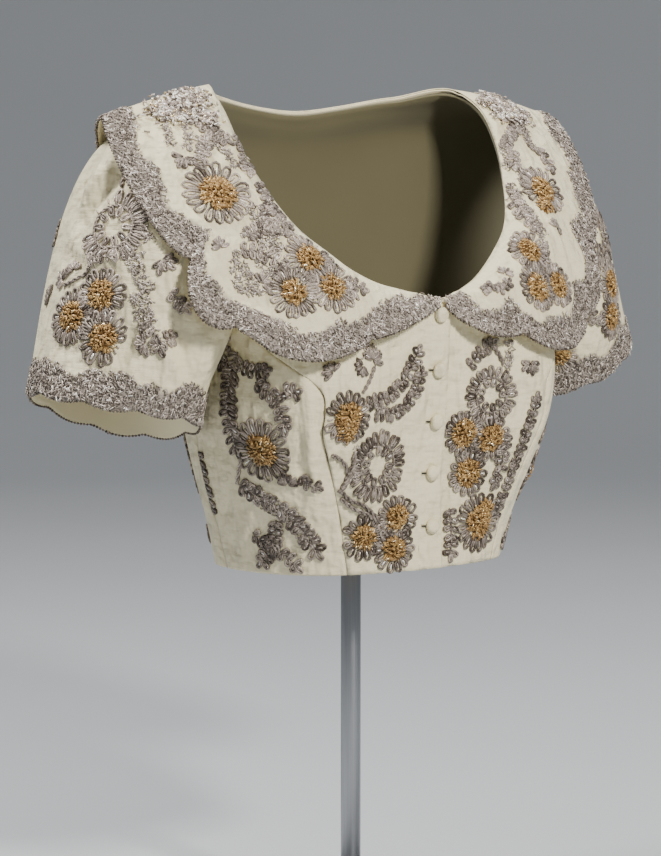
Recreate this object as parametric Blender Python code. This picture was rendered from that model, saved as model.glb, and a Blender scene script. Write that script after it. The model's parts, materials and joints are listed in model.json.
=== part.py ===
"""A short-sleeved bolero jacket filled out on a limbless display form and its stand.

Metres, +Z up, the jacket's front faces -Y, the wearer's left is +X.
The origin is the centre of the base plate's underside.
"""

import math

import bmesh
import bpy
import numpy as np
from mathutils import Vector
from mathutils.bvhtree import BVHTree

# Driving sizes
HEM_HEIGHT = 0.330
CLOTH = 0.0015
SEAM_GAP = 0.0003
OVERLAP_GAP = 0.0009
LINING_GAP = 0.0029
FORM_WALL = 0.003

# Where the form's shoulders carry the jacket: angle, its width, level, its width, rise
SHOULDER_SEAT = (97.0, 13.0, 0.93, 0.05, 0.00245)

BAND_DEPTH = 0.027
BAND_RAISE = 0.0012
FLOWER_RAISE = 0.0022

SIDE_SEAM = 92.0
OVERLAP_X = 0.011
UNDERLAP_X = 0.013

BUTTON_RADIUS = 0.0068
BUTTON_DOME = 0.0050
BUTTON_EDGE = 0.0012
BUTTON_SEAT = 0.0009
BUTTON_HEIGHTS = (0.2225, 0.1755, 0.1310, 0.0860, 0.0400)

POLE_RADIUS = 0.009
BASE_RADIUS = 0.130
BASE_THICK = 0.010
BOARD_LOW = 0.016
BOARD_THICK = 0.012
BOARD_EDGE_GAP = 0.0035

# Body rings from hem to neck: level, half width, front and back depth, squareness in front
# and behind, heights at the front, side and back above the hem, bust fullness
RINGS = (
    (0.00, 0.132, 0.115, 0.085, 2.2, 2.2, 0.003, 0.001, 0.002, 0.005),
    (0.15, 0.142, 0.113, 0.084, 2.3, 2.2, 0.045, 0.040, 0.043, 0.010),
    (0.30, 0.156, 0.113, 0.088, 2.4, 2.2, 0.090, 0.087, 0.095, 0.022),
    (0.42, 0.165, 0.118, 0.096, 2.5, 2.3, 0.130, 0.135, 0.150, 0.028),
    (0.54, 0.170, 0.121, 0.103, 2.6, 2.4, 0.165, 0.200, 0.215, 0.026),
    (0.62, 0.176, 0.123, 0.107, 2.6, 2.5, 0.185, 0.245, 0.262, 0.018),
    (0.70, 0.183, 0.124, 0.109, 2.6, 2.6, 0.200, 0.295, 0.300, 0.010),
    (0.78, 0.189, 0.1245, 0.108, 2.6, 2.6, 0.212, 0.345, 0.335, 0.004),
    (0.86, 0.190, 0.1245, 0.103, 2.5, 2.5, 0.222, 0.385, 0.365, 0.000),
    (0.94, 0.165, 0.1235, 0.094, 2.3, 2.3, 0.230, 0.404, 0.384, 0.000),
)
BUST_ANGLE = 46.0
BUST_WIDTH = 20.0

# The neckline from the centre front round to the centre back: angle, reach, height
NECK = (
    (0.0, 0.1210, 0.2340),
    (18.0, 0.1175, 0.2425),
    (34.0, 0.1190, 0.2550),
    (45.0, 0.1270, 0.2735),
    (57.0, 0.1365, 0.2970),
    (63.0, 0.1395, 0.3140),
    (70.0, 0.1420, 0.3370),
    (77.0, 0.1445, 0.3630),
    (85.0, 0.1430, 0.3920),
    (95.0, 0.1385, 0.4110),
    (125.0, 0.1180, 0.4090),
    (150.0, 0.0970, 0.4010),
    (180.0, 0.0850, 0.3960),
)

# The princess seam: level, angle
PRINCESS = ((0.00, 38.2), (0.20, 41.0), (0.40, 44.6), (0.53, 47.8), (0.61, 70.0))

# The armhole, an oval in angle and level
ARMHOLE_ANGLE = 92.0
ARMHOLE_LEVEL = 0.70
ARMHOLE_FRONT = 27.0
ARMHOLE_BACK = 24.0
ARMHOLE_RISE = 0.16
ARMHOLE_STEPS = 32
PRINCESS_STEP = 11

# Rows of the body between those of the armhole
LOW_ROWS = 12
SHOULDER_ROWS = 4

# How much a side front's columns crowd towards the bust
SIDE_FRONT_CROWDING = 1.2

# Each cuff's ring as its sleeve hangs: height, rise outwards, fall towards the back, sag,
# and the angle round the arm at which the ring doesn't sag
CUFF_CENTRE = (0.243, 0.008)
CUFFS = {
    "right": (0.146, 0.29, 0.09, 0.0085, 143.0),
    "left": (0.166, 0.32, 0.08, 0.0160, 15.0),
}
CUFF_RADIUS_ACROSS = 0.072
CUFF_RADIUS_ALONG = 0.075
CUFF_SCALLOPS = 10
CUFF_SCALLOP_DEPTH = 0.004

# How the sleeve leaves the armhole and reaches the cuff: angle round the arm from the top
# towards the front, then the pull at the armhole and the pull at the cuff as x, y, z
SLEEVE_PULLS = (
    (0.0, 0.074, 0.004, 0.012, -0.046, 0.006, 0.129),
    (45.0, 0.056, -0.014, 0.004, -0.038, -0.008, 0.090),
    (90.0, 0.032, -0.022, -0.004, -0.020, -0.016, 0.056),
    (135.0, 0.020, -0.012, -0.008, -0.004, -0.008, 0.036),
    (180.0, 0.015, 0.000, -0.010, 0.010, 0.000, 0.030),
    (225.0, 0.022, 0.014, -0.008, -0.004, 0.008, 0.036),
    (270.0, 0.044, 0.028, 0.000, -0.016, 0.018, 0.066),
    (315.0, 0.072, 0.022, 0.010, -0.028, 0.018, 0.105),
    (360.0, 0.074, 0.004, 0.012, -0.046, 0.006, 0.129),
)

# Sleeve folds: angle round the arm, its width, place down the arm, its width, depth
SLEEVE_FOLDS = (
    (35.0, 22.0, 0.45, 0.30, 0.0035),
    (75.0, 18.0, 0.35, 0.25, -0.0030),
    (115.0, 20.0, 0.45, 0.28, 0.0040),
    (250.0, 24.0, 0.45, 0.30, 0.0035),
    (300.0, 22.0, 0.40, 0.30, -0.0030),
)

# Collar points between two scallops: neck angle, x, y, z, then the depth of the scallop
# that follows, and its lean (1 is even)
COLLAR_NOTCHES = (
    (1.2, 0.003, -0.1285, 0.2290, 0.012, 1.0),
    (36.0, 0.082, -0.1330, 0.2020, 0.022, 1.0),
    (60.0, 0.200, -0.0990, 0.2140, 0.021, 1.0),
    (73.0, 0.224, -0.0790, 0.2720, 0.014, 0.7),
    (96.0, 0.248, 0.0150, 0.3870, 0.004, 1.0),
    (116.0, 0.196, 0.0740, 0.3360, 0.018, 1.0),
    (146.0, 0.128, 0.1060, 0.2960, 0.020, 1.0),
)
COLLAR_RIGHT_FRONT_SCALLOP = 0.002
COLLAR_LEFT_TUCK = 0.018
COLLAR_LEFT_SCALLOP = 0.012
COLLAR_BOW = 0.006
COLLAR_ROUNDING = 0.55
SCALLOP_FULLNESS = 0.8
COLLAR_CLEARANCE = 0.0047
COLLAR_SEAT = 0.0032
RISE_STEP = 0.001

# Raised flowers: centre's angle, level and radius
FLOWERS = (
    (-21.0, 0.30, 0.020),
    (-27.0, 0.06, 0.024),
    (-14.5, 0.10, 0.020),
    (-60.0, 0.32, 0.024),
    (20.0, 0.36, 0.020),
    (31.0, 0.34, 0.020),
    (23.0, 0.24, 0.020),
    (32.0, 0.12, 0.022),
    (60.0, 0.32, 0.024),
    (125.0, 0.30, 0.024),
    (-125.0, 0.30, 0.024),
    (160.0, 0.20, 0.024),
    (-160.0, 0.20, 0.024),
    (180.0, 0.42, 0.024),
)

IVORY = (0.71, 0.69, 0.62, 1.0)
OLIVE = (0.17, 0.16, 0.09, 1.0)
STEEL = (0.30, 0.31, 0.32, 1.0)
WOOD = (0.32, 0.24, 0.15, 1.0)


# Helpers
def spline(keys, values, at):
    """A smooth curve through rows of values, read at one or more places."""
    keys = np.asarray(keys, float)
    values = np.asarray(values, float).reshape(len(keys), -1)
    at = np.clip(np.atleast_1d(np.asarray(at, float)), keys[0], keys[-1])
    slopes = np.gradient(values, keys, axis=0)
    i = np.clip(np.searchsorted(keys, at, side="right") - 1, 0, len(keys) - 2)
    width = (keys[i + 1] - keys[i])[:, None]
    u = ((at - keys[i]) / (keys[i + 1] - keys[i]))[:, None]
    from_here = values[i] * (1 + 2 * u) * (1 - u) ** 2 + slopes[i] * width * u * (1 - u) ** 2
    from_next = values[i + 1] * u**2 * (3 - 2 * u) + slopes[i + 1] * width * u**2 * (u - 1)
    return from_here + from_next


def smooth_step(x):
    x = np.clip(x, 0.0, 1.0)
    return x * x * (3 - 2 * x)


def unit(vectors):
    return vectors / np.maximum(np.linalg.norm(vectors, axis=-1, keepdims=True), 1e-12)


# The body's surface
def oval_reach(angle, half_width, depth, squareness):
    """How far a squared oval reaches from the axis at an angle from the front or back."""
    across = np.abs(np.sin(angle)) / half_width
    along = np.abs(np.cos(angle)) / depth
    return (across**squareness + along**squareness) ** (-1 / squareness)


def neck_reach_height(degrees):
    table = np.array(NECK)
    before, after = table[1] * [-1, 1, 1], table[-2] * [-1, 1, 1] + [360, 0, 0]
    table = np.vstack([before, table, after])
    found = spline(table[:, 0], table[:, 1:], np.abs(degrees))
    return found[:, 0], found[:, 1]


def ring_height(degrees, level, front, side, back):
    """Rings rise from the front to the side like a tilted oval, and like the neckline above."""
    turned = np.abs(degrees)
    low = np.sin(np.radians(np.minimum(turned, 95) / 95 * 90)) ** 2
    neck_height = neck_reach_height(turned)[1]
    neck_front, neck_side = NECK[0][2], NECK[9][2]
    high = np.clip((neck_height - neck_front) / (neck_side - neck_front), 0, 1)
    like_neck = smooth_step(level / 0.86)
    rise = np.where(turned < 95, low + (high - low) * like_neck, 1.0)
    behind = np.cos(np.radians((np.clip(turned, 95, 180) - 95) / 85 * 90)) ** 2
    forward = front + (side - front) * rise
    backward = back + (side - back) * behind
    return np.where(turned < 95, forward, backward)


def body(degrees, level):
    """Points of the cloth's outer surface: degrees from the front, level 0 hem to 1 neck."""
    degrees, level = np.broadcast_arrays(
        np.atleast_1d(np.asarray(degrees, float)), np.atleast_1d(np.asarray(level, float))
    )
    angle = np.radians(np.abs(degrees))
    reaches, heights, keys = [], [], []
    for key, half, front, back, square, square_back, z_front, z_side, z_back, bust in RINGS:
        ahead = oval_reach(angle, half, front, square)
        ahead = ahead + bust * np.exp(-(((np.abs(degrees) - BUST_ANGLE) / BUST_WIDTH) ** 2))
        behind = oval_reach(angle, half, back, square_back)
        reaches.append(np.where(np.abs(degrees) < 90, ahead, behind))
        heights.append(ring_height(degrees, key, z_front, z_side, z_back))
        keys.append(key)
    neck_reach, neck_height = neck_reach_height(degrees)
    reaches.append(neck_reach)
    heights.append(neck_height)
    keys.append(1.0)
    both = np.stack([np.array(reaches), np.array(heights)], axis=-1)
    found = np.array(
        [spline(keys, both[:, i], level[i])[0] for i in range(len(degrees))]
    )
    turn = np.radians(degrees)
    return np.stack(
        [
            found[:, 0] * np.sin(turn),
            -found[:, 0] * np.cos(turn),
            found[:, 1] + HEM_HEIGHT,
        ],
        axis=1,
    )


def body_normal(degrees, level):
    degrees, level = np.broadcast_arrays(
        np.atleast_1d(np.asarray(degrees, float)), np.atleast_1d(np.asarray(level, float))
    )
    around = body(degrees + 0.5, level) - body(degrees - 0.5, level)
    up = body(degrees, np.minimum(level + 0.006, 1)) - body(degrees, np.maximum(level - 0.006, 0))
    return unit(np.cross(around, up))


def angle_at_x(x, level):
    """The angle near the front where the body's surface passes a distance from the middle."""
    return math.degrees(math.asin(x / (np.linalg.norm(body(0.0, level)[0, :2]))))


# Edges of the panels
def armhole(step):
    """(angle, level) on the armhole of the wearer's left, from its top towards the front."""
    turn = 2 * math.pi * step / ARMHOLE_STEPS
    forward = math.sin(turn)
    spread = ARMHOLE_FRONT if forward > 0 else ARMHOLE_BACK
    return ARMHOLE_ANGLE - spread * forward, ARMHOLE_LEVEL + ARMHOLE_RISE * math.cos(turn)


def princess(level):
    table = np.array(PRINCESS)
    last_angle, last_level = armhole(PRINCESS_STEP)
    table[-1] = (last_level, last_angle)
    return float(spline(table[:, 0], table[:, 1], level)[0, 0])


def shoulder(level):
    """The shoulder seam runs from the armhole's top to the neckline a little further back."""
    top = ARMHOLE_LEVEL + ARMHOLE_RISE
    return ARMHOLE_ANGLE + 6.0 * (level - top) / (1 - top)


def low_levels(top):
    return [top * row / LOW_ROWS for row in range(LOW_ROWS)]


def shoulder_levels():
    top = ARMHOLE_LEVEL + ARMHOLE_RISE
    return [top + (1 - top) * row / SHOULDER_ROWS for row in range(1, SHOULDER_ROWS + 1)]


def even_angles(start, end, level, count):
    """Angles that part one ring's stretch into equal lengths."""
    fine = np.linspace(start, end, 60)
    points = body(fine, np.full(60, level))
    along = np.concatenate([[0], np.cumsum(np.linalg.norm(np.diff(points, axis=0), axis=1))])
    return np.interp(np.linspace(0, along[-1], count), along, fine)


def body_skin():
    """The whole body's outer surface as one grid, for laying things on it."""
    levels = np.linspace(0, 1, 41)
    degrees = np.arange(-180, 180, 4.0)
    grid = np.meshgrid(degrees, levels)
    return body(grid[0].ravel(), grid[1].ravel()).reshape(*grid[0].shape, 3)


# Walls
def wall_object(name, outer, inner, closed_round, colour, roughness, metallic=0.0):
    """A closed wall between two grids of points, whose rows run along and columns round."""
    rows, columns = outer.shape[:2]
    mesh = bmesh.new()
    sides = []
    for grid in (outer, inner):
        sides.append([[mesh.verts.new(point) for point in row] for row in grid])
    last = columns if closed_round else columns - 1
    for row in range(rows - 1):
        for column in range(last):
            after = (column + 1) % columns
            for side, vertices in enumerate(sides):
                corners = [
                    vertices[row][column],
                    vertices[row][after],
                    vertices[row + 1][after],
                    vertices[row + 1][column],
                ]
                mesh.faces.new(corners if side == 0 else corners[::-1])
    top, bottom = sides
    for row in (0, rows - 1):
        for column in range(last):
            after = (column + 1) % columns
            corners = [top[row][after], top[row][column], bottom[row][column], bottom[row][after]]
            mesh.faces.new(corners if row == 0 else corners[::-1])
    if not closed_round:
        for column in (0, columns - 1):
            for row in range(rows - 1):
                corners = [
                    top[row][column],
                    top[row + 1][column],
                    bottom[row + 1][column],
                    bottom[row][column],
                ]
                mesh.faces.new(corners if column == 0 else corners[::-1])
    bmesh.ops.triangulate(mesh, faces=mesh.faces, quad_method="SHORT_EDGE")
    bmesh.ops.recalc_face_normals(mesh, faces=mesh.faces)
    if mesh.calc_volume(signed=True) < 0:
        bmesh.ops.reverse_faces(mesh, faces=mesh.faces)
    return finish(name, mesh, colour, roughness, metallic)


def finish(name, mesh, colour, roughness, metallic):
    data = bpy.data.meshes.new(name)
    mesh.to_mesh(data)
    mesh.free()
    data.shade_smooth()
    data.set_sharp_from_angle(angle=math.radians(40))
    made = bpy.data.objects.new(name, data)
    bpy.context.scene.collection.objects.link(made)
    material = bpy.data.materials.new(name)
    material.use_nodes = True
    surface = material.node_tree.nodes["Principled BSDF"].inputs
    surface["Base Color"].default_value = colour
    surface["Roughness"].default_value = roughness
    surface["Metallic"].default_value = metallic
    data.materials.append(material)
    return made


def pull_edges_in(grid, gap):
    """Moves a panel's side edges half a seam's gap inwards, square to the edge."""
    moved = grid.copy()
    for edge, beside in ((0, 1), (-1, -2)):
        along = unit(np.gradient(grid[:, edge], axis=0))
        inward = grid[:, beside] - grid[:, edge]
        inward = inward - (inward * along).sum(axis=1, keepdims=True) * along
        moved[:, edge] += unit(inward) * gap / 2
    return moved


def pull_top_in(grid, gap):
    """Moves a panel's top edge half a seam's gap inwards, square to the edge."""
    moved = grid.copy()
    along = unit(np.gradient(grid[-1], axis=0))
    inward = grid[-2] - grid[-1]
    inward = inward - (inward * along).sum(axis=1, keepdims=True) * along
    moved[-1] += unit(inward) * gap / 2
    return moved


def flower_raise(points, side):
    """How far the embroidery's flowers stand up at these points of a panel."""
    raised = np.zeros(points.shape[:-1])
    for degrees, level, radius in FLOWERS:
        if side and degrees * side < 0:
            continue
        centre = body(degrees, level)[0]
        near = np.linalg.norm(points - centre, axis=-1) / radius
        raised = np.maximum(raised, FLOWER_RAISE * smooth_step(1.6 - 1.2 * near))
    return raised


def panel(name, degrees, levels, lift=None, side=0):
    """A wall on the body's surface over a grid of angles and levels."""
    shape = degrees.shape
    points = body(degrees.ravel(), levels.ravel()).reshape(*shape, 3)
    normals = body_normal(degrees.ravel(), levels.ravel()).reshape(*shape, 3)
    lift = np.zeros(shape) if lift is None else lift
    inner = points + normals * (lift - CLOTH)[..., None]
    raised = flower_raise(points, side)
    raised[:, [0, -1]] = 0
    raised[[0, -1], :] = 0
    outer = points + normals * (lift + raised)[..., None]
    pieces = [pull_top_in(pull_edges_in(grid, SEAM_GAP), SEAM_GAP) for grid in (outer, inner)]
    return wall_object(name, *pieces, False, IVORY, 0.62)


# Panels
def front_grid(edge_x):
    """Rows of angles of a front on the wearer's left, from an edge near the middle outwards."""
    levels = low_levels(armhole(PRINCESS_STEP)[1])
    outer_edge = [princess(level) for level in levels]
    for step in range(PRINCESS_STEP, -1, -1):
        angle, level = armhole(step)
        levels.append(level)
        outer_edge.append(angle)
    for level in shoulder_levels():
        levels.append(level)
        outer_edge.append(shoulder(level))
    rows = [
        even_angles(angle_at_x(edge_x, level), outer, level, 11)
        for level, outer in zip(levels, outer_edge)
    ]
    degrees = np.array(rows)
    return degrees, np.repeat(np.array(levels)[:, None], degrees.shape[1], axis=1)


def overlap_lift(x):
    """How far the right front stands out over the left one, by distance from the middle."""
    return (CLOTH + OVERLAP_GAP) * smooth_step((0.032 - x) / 0.014)


def make_fronts():
    degrees, levels = front_grid(-UNDERLAP_X)
    panel("front_left", degrees, levels, side=1)
    degrees, levels = front_grid(-OVERLAP_X)
    x = body(degrees.ravel(), levels.ravel())[:, 0].reshape(degrees.shape)
    panel("front_right", -degrees[:, ::-1], levels[:, ::-1], overlap_lift(x)[:, ::-1], side=-1)


def make_side_fronts():
    steps = range(PRINCESS_STEP, ARMHOLE_STEPS // 2 + 1)
    edge = [armhole(step) for step in steps]
    rows = LOW_ROWS + 1
    degrees = np.zeros((rows, len(edge)))
    levels = np.zeros((rows, len(edge)))
    for column, (angle, top) in enumerate(edge):
        share = (column / (len(edge) - 1)) ** SIDE_FRONT_CROWDING
        for row in range(rows):
            level = top * row / LOW_ROWS
            seam = princess(level)
            straight = seam + (SIDE_SEAM - seam) * share
            seam_above = princess(top)
            above = seam_above + (SIDE_SEAM - seam_above) * share
            upper = smooth_step((row / LOW_ROWS - 0.5) / 0.5)
            levels[row, column] = level
            degrees[row, column] = straight + (angle - above) * upper
    panel("side_front_left", degrees, levels, side=1)
    panel("side_front_right", -degrees[:, ::-1], levels[:, ::-1], side=-1)


def make_back():
    levels = low_levels(ARMHOLE_LEVEL - ARMHOLE_RISE)
    edge = [SIDE_SEAM] * len(levels)
    for step in range(ARMHOLE_STEPS // 2, ARMHOLE_STEPS + 1):
        angle, level = armhole(step)
        levels.append(level)
        edge.append(angle)
    for level in shoulder_levels():
        levels.append(level)
        edge.append(shoulder(level))
    degrees = np.array(
        [even_angles(outer, 360 - outer, level, 15) for level, outer in zip(levels, edge)]
    )
    degrees = np.where(degrees > 180, degrees - 360, degrees)
    grid = np.repeat(np.array(levels)[:, None], degrees.shape[1], axis=1)
    panel("back", degrees, grid)


# Sleeves
def cuff_points(turn, side):
    """Points of the cuff's edge, by the angle round the arm from its outside forwards."""
    height, rise_out, fall_back, sag, even_turn = CUFFS[side]
    across = np.cos(turn) * CUFF_RADIUS_ACROSS
    along = -np.sin(turn) * CUFF_RADIUS_ALONG
    tilt = rise_out * across - fall_back * along
    drop = sag * np.sin(turn - math.radians(even_turn)) ** 2
    scallop = CUFF_SCALLOP_DEPTH * np.abs(np.sin(turn * CUFF_SCALLOPS / 2))
    x, y = CUFF_CENTRE
    z = HEM_HEIGHT + height + tilt - drop - scallop
    return np.stack([x + across, y + along, z], axis=-1)


def sleeve_folds(turn_degrees, down):
    depth = np.zeros(np.broadcast(turn_degrees, down).shape)
    for angle, width, place, reach, height in SLEEVE_FOLDS:
        around = ((turn_degrees - angle + 180) % 360 - 180) / width
        depth = depth + height * np.exp(-(around**2) - ((down - place) / reach) ** 2)
    return depth


def sleeve_surface(steps, places, side):
    """A left sleeve's outer surface: a row for each place from the armhole to the cuff."""
    edge = [armhole(step) for step in steps]
    start = body([angle for angle, _ in edge], [level for _, level in edge])
    start = start + unit(start.mean(axis=0) - start) * SEAM_GAP
    turn = 2 * np.pi * np.asarray(steps, float) / ARMHOLE_STEPS
    end = cuff_points(turn, side)
    table = np.array(SLEEVE_PULLS)
    pulls = spline(table[:, 0], table[:, 1:], np.degrees(turn) % 360)
    first, second = start + pulls[:, :3], end + pulls[:, 3:]
    rows = [
        start * (1 - u) ** 3
        + 3 * first * u * (1 - u) ** 2
        + 3 * second * u**2 * (1 - u)
        + end * u**3
        for u in places
    ]
    return np.array(rows)


def grid_normals(points):
    """Outward normals of a grid that closes round, from its neighbours."""
    around = np.roll(points, -1, axis=1) - np.roll(points, 1, axis=1)
    down = np.gradient(points, axis=0)
    return unit(np.cross(around, down))


def make_sleeves():
    steps = np.arange(ARMHOLE_STEPS)
    places = np.array([0, 0.07, 0.17, 0.30, 0.44, 0.57, 0.69, 0.79, 0.81, 1.0])
    skins = []
    for side in CUFFS:
        points = sleeve_surface(steps, places, side)
        normals = grid_normals(points)
        turn = np.degrees(2 * np.pi * steps / ARMHOLE_STEPS)[None, :]
        folds = sleeve_folds(turn, places[:, None])
        folds[[0, 1, -1]] = 0
        points = points + normals * folds[..., None]
        band = BAND_RAISE * (places > 0.8)[:, None] * np.ones(len(steps))
        outer = points + normals * band[..., None]
        inner = points - normals * CLOTH
        flip = np.array([-1 if side == "right" else 1, 1, 1])
        wall_object(f"sleeve_{side}", outer * flip, inner * flip, True, IVORY, 0.62)
        skins.append(outer * flip)
    return skins


# Collar
def collar_stations():
    """The notches of both halves, from the left end round the back to the right end."""
    left = np.array(COLLAR_NOTCHES)
    right = left[::-1].copy()
    right[:, 0] = 360 - right[:, 0]
    right[:, 1] = -right[:, 1]
    right[:, 4:6] = np.roll(left[::-1, 4:6], -1, axis=0)
    right[-2, 4] = COLLAR_RIGHT_FRONT_SCALLOP
    left[2:4, 1] -= COLLAR_LEFT_TUCK
    left[2, 4] = COLLAR_LEFT_SCALLOP
    return np.concatenate([left, right])


def collar_ends(per_scallop):
    """Neck angles with the collar's neck and outer points, for each row round the neck."""
    notches = collar_stations()
    count = len(notches)
    keys = np.arange(count, dtype=float)
    at = np.linspace(0, count - 1, (count - 1) * per_scallop + 1)
    smooth = spline(keys, notches, at)
    chord = np.stack([np.interp(at, keys, notches[:, i]) for i in (1, 2, 3)], axis=1)
    base = chord + (smooth[:, 1:4] - chord) * COLLAR_ROUNDING + np.array([0, 0, HEM_HEIGHT])
    scallop = np.minimum(at.astype(int), count - 2)
    part = at - scallop
    part = np.where(scallop < count // 2, part, 1 - part)
    arch = np.sin(np.pi * part ** notches[scallop, 5]) ** SCALLOP_FULLNESS
    degrees = np.where(smooth[:, 0] > 180, smooth[:, 0] - 360, smooth[:, 0])
    neck = body(degrees, np.ones(len(at)))
    seat = COLLAR_SEAT + overlap_lift(np.abs(neck[:, 0])) * (neck[:, 1] < 0)
    neck = neck + body_normal(degrees, np.full(len(at), 0.994)) * seat[:, None]
    along = unit(np.gradient(base, axis=0))
    outward = base - neck
    outward = unit(outward - (outward * along).sum(axis=1, keepdims=True) * along)
    edge = base + outward * (notches[scallop, 4] * arch)[:, None]
    up = np.cross(outward, along)
    level_out = unit((neck + edge) * np.array([1, 1, 0])) * 0.7 + np.array([0, 0, 0.7])
    up = unit(up * np.sign((up * level_out).sum(axis=1, keepdims=True)))
    return neck, edge, up


def band_share(share, band):
    """Shares up to 1 lie between the neck and the band, those from 1 to 2 across the band."""
    return share * (1 - band) if share <= 1 else 1 - band * (2 - share)


def skin_tree(skins):
    """A search tree over grids of outward-facing points."""
    points, faces = [], []
    for skin in skins:
        rows, columns = skin.shape[:2]
        first = len(points)
        points.extend(Vector(point) for point in skin.reshape(-1, 3))
        for row in range(rows - 1):
            for column in range(columns):
                after = (column + 1) % columns
                corner = [row * columns + column, row * columns + after]
                corner += [(row + 1) * columns + after, (row + 1) * columns + column]
                faces.append([first + index for index in corner])
    return BVHTree.FromPolygons(points, faces)


def rise_needed(tree, point, up, clearance, centre):
    """How far a point must rise along its direction to lie clear of the skins."""
    for step in range(-8, 60):
        place = Vector(point + up * step * RISE_STEP)
        near, normal, _, distance = tree.find_nearest(place)
        outward = normal if normal.dot(near - centre) > 0 else -normal
        if (place - near).dot(outward) >= 0 and distance >= clearance:
            return max(step, -4) * RISE_STEP
    return 0.0


def collar_surface(per_scallop, shares, skins):
    """The collar's outer points, laid over the body and the sleeves' heads."""
    neck, edge, up = collar_ends(per_scallop)
    length = np.linalg.norm(edge - neck, axis=1)
    band = np.minimum(BAND_DEPTH / length, 0.8)
    share = np.array([[band_share(s, b) for s in shares] for b in band])[..., None]
    points = neck[:, None] * (1 - share) + edge[:, None] * share
    bow = np.minimum(COLLAR_BOW, length * 0.08)[:, None, None]
    points = points + up[:, None] * bow * 4 * share * (1 - share)
    tree = skin_tree(skins)
    centre = Vector((0, 0, HEM_HEIGHT + 0.2))
    needed = np.zeros(points.shape[:2])
    for row in range(points.shape[0]):
        for column in range(1, points.shape[1]):
            place = points[row, column]
            needed[row, column] = rise_needed(tree, place, up[row], COLLAR_CLEARANCE, centre)
    rise = np.maximum(needed, 0)
    for _ in range(30):
        spread = np.pad(rise, 1, mode="edge")
        mean = (spread[2:, 1:-1] + spread[:-2, 1:-1] + spread[1:-1, 2:] + spread[1:-1, :-2]) / 4
        mean[:, 0] = 0
        rise = np.maximum(needed, mean)
        rise[:, 0] = 0
    return points + up[:, None] * rise[..., None]


def make_collar(skins):
    shares = np.array([0, 0.09, 0.24, 0.45, 0.72, 1.0, 1.08, 2.0])
    points = collar_surface(7, shares, skins)
    around = np.gradient(points, axis=0)
    outward = np.gradient(points, axis=1)
    normals = unit(np.cross(outward, around))
    middle = len(points) // 2
    if normals[middle, 2, 2] < 0:
        normals = -normals
    raised = BAND_RAISE * (shares > 1.01)[None, :] * np.ones(points.shape[:2])
    outer = points + normals * raised[..., None]
    inner = points - normals * CLOTH
    wall_object("collar", outer, inner, False, IVORY, 0.62)


# Buttons
def turned_object(name, profile, steps, colour, roughness, metallic):
    """A solid turned round the z axis from a profile of radius and height."""
    mesh = bmesh.new()
    first = [mesh.verts.new((radius, 0, height)) for radius, height in profile]
    edges = [mesh.edges.new(pair) for pair in zip(first, first[1:])]
    bmesh.ops.spin(
        mesh,
        geom=first + edges,
        cent=(0, 0, 0),
        axis=(0, 0, 1),
        angle=2 * math.pi,
        steps=steps,
        use_duplicate=False,
    )
    bmesh.ops.remove_doubles(mesh, verts=mesh.verts, dist=1e-6)
    bmesh.ops.recalc_face_normals(mesh, faces=mesh.faces)
    if mesh.calc_volume(signed=True) < 0:
        bmesh.ops.reverse_faces(mesh, faces=mesh.faces)
    return finish(name, mesh, colour, roughness, metallic)


def level_at_height(height):
    """The level at which the front's middle line reaches a height above the hem."""
    levels = np.linspace(0, 1, 201)
    heights = body(np.zeros(201), levels)[:, 2] - HEM_HEIGHT
    return float(np.interp(height, heights, levels))


def make_buttons():
    profile = [(0.0, 0.0), (BUTTON_RADIUS * 0.93, 0.0), (BUTTON_RADIUS, BUTTON_EDGE)]
    for step in range(1, 5):
        turn = math.pi / 2 * step / 4
        rise = BUTTON_EDGE + (BUTTON_DOME - BUTTON_EDGE) * math.sin(turn)
        profile.append((BUTTON_RADIUS * math.cos(turn) * (step < 4), rise))
    for number, height in enumerate(BUTTON_HEIGHTS, start=1):
        level = level_at_height(height)
        out = body_normal(0.0, level)[0]
        seat = body(0.0, level)[0] + out * (overlap_lift(0.0) + BUTTON_SEAT)
        button = turned_object(f"button_{number}", profile, 16, IVORY, 0.45, 0.0)
        button.location = seat
        button.rotation_euler = (math.acos(out[2]), 0, 0)


# Form and stand
def make_form():
    """The hollow form, cut down to just inside the neckline and open below the board."""
    columns, rows = 40, 15
    levels = np.linspace(0.035, 0.988, rows)
    half = np.array([even_angles(0, 180, level, columns // 2 + 1) for level in levels])
    degrees = np.concatenate([half[:, :-1], half[:, ::-1][:, :-1] * -1], axis=1)
    grid = np.repeat(levels[:, None], degrees.shape[1], axis=1)
    points = body(degrees.ravel(), grid.ravel()).reshape(*degrees.shape, 3)
    normals = body_normal(degrees.ravel(), grid.ravel()).reshape(*degrees.shape, 3)
    angle, spread, level, reach, rise = SHOULDER_SEAT
    near = ((np.abs(degrees) - angle) / spread) ** 2 + ((grid - level) / reach) ** 2
    gap = LINING_GAP - rise * np.exp(-near)
    outer = points - normals * (CLOTH + gap)[..., None]
    inner = outer - normals * FORM_WALL
    wall_object("form", outer, inner, True, OLIVE, 0.75)
    return inner


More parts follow.
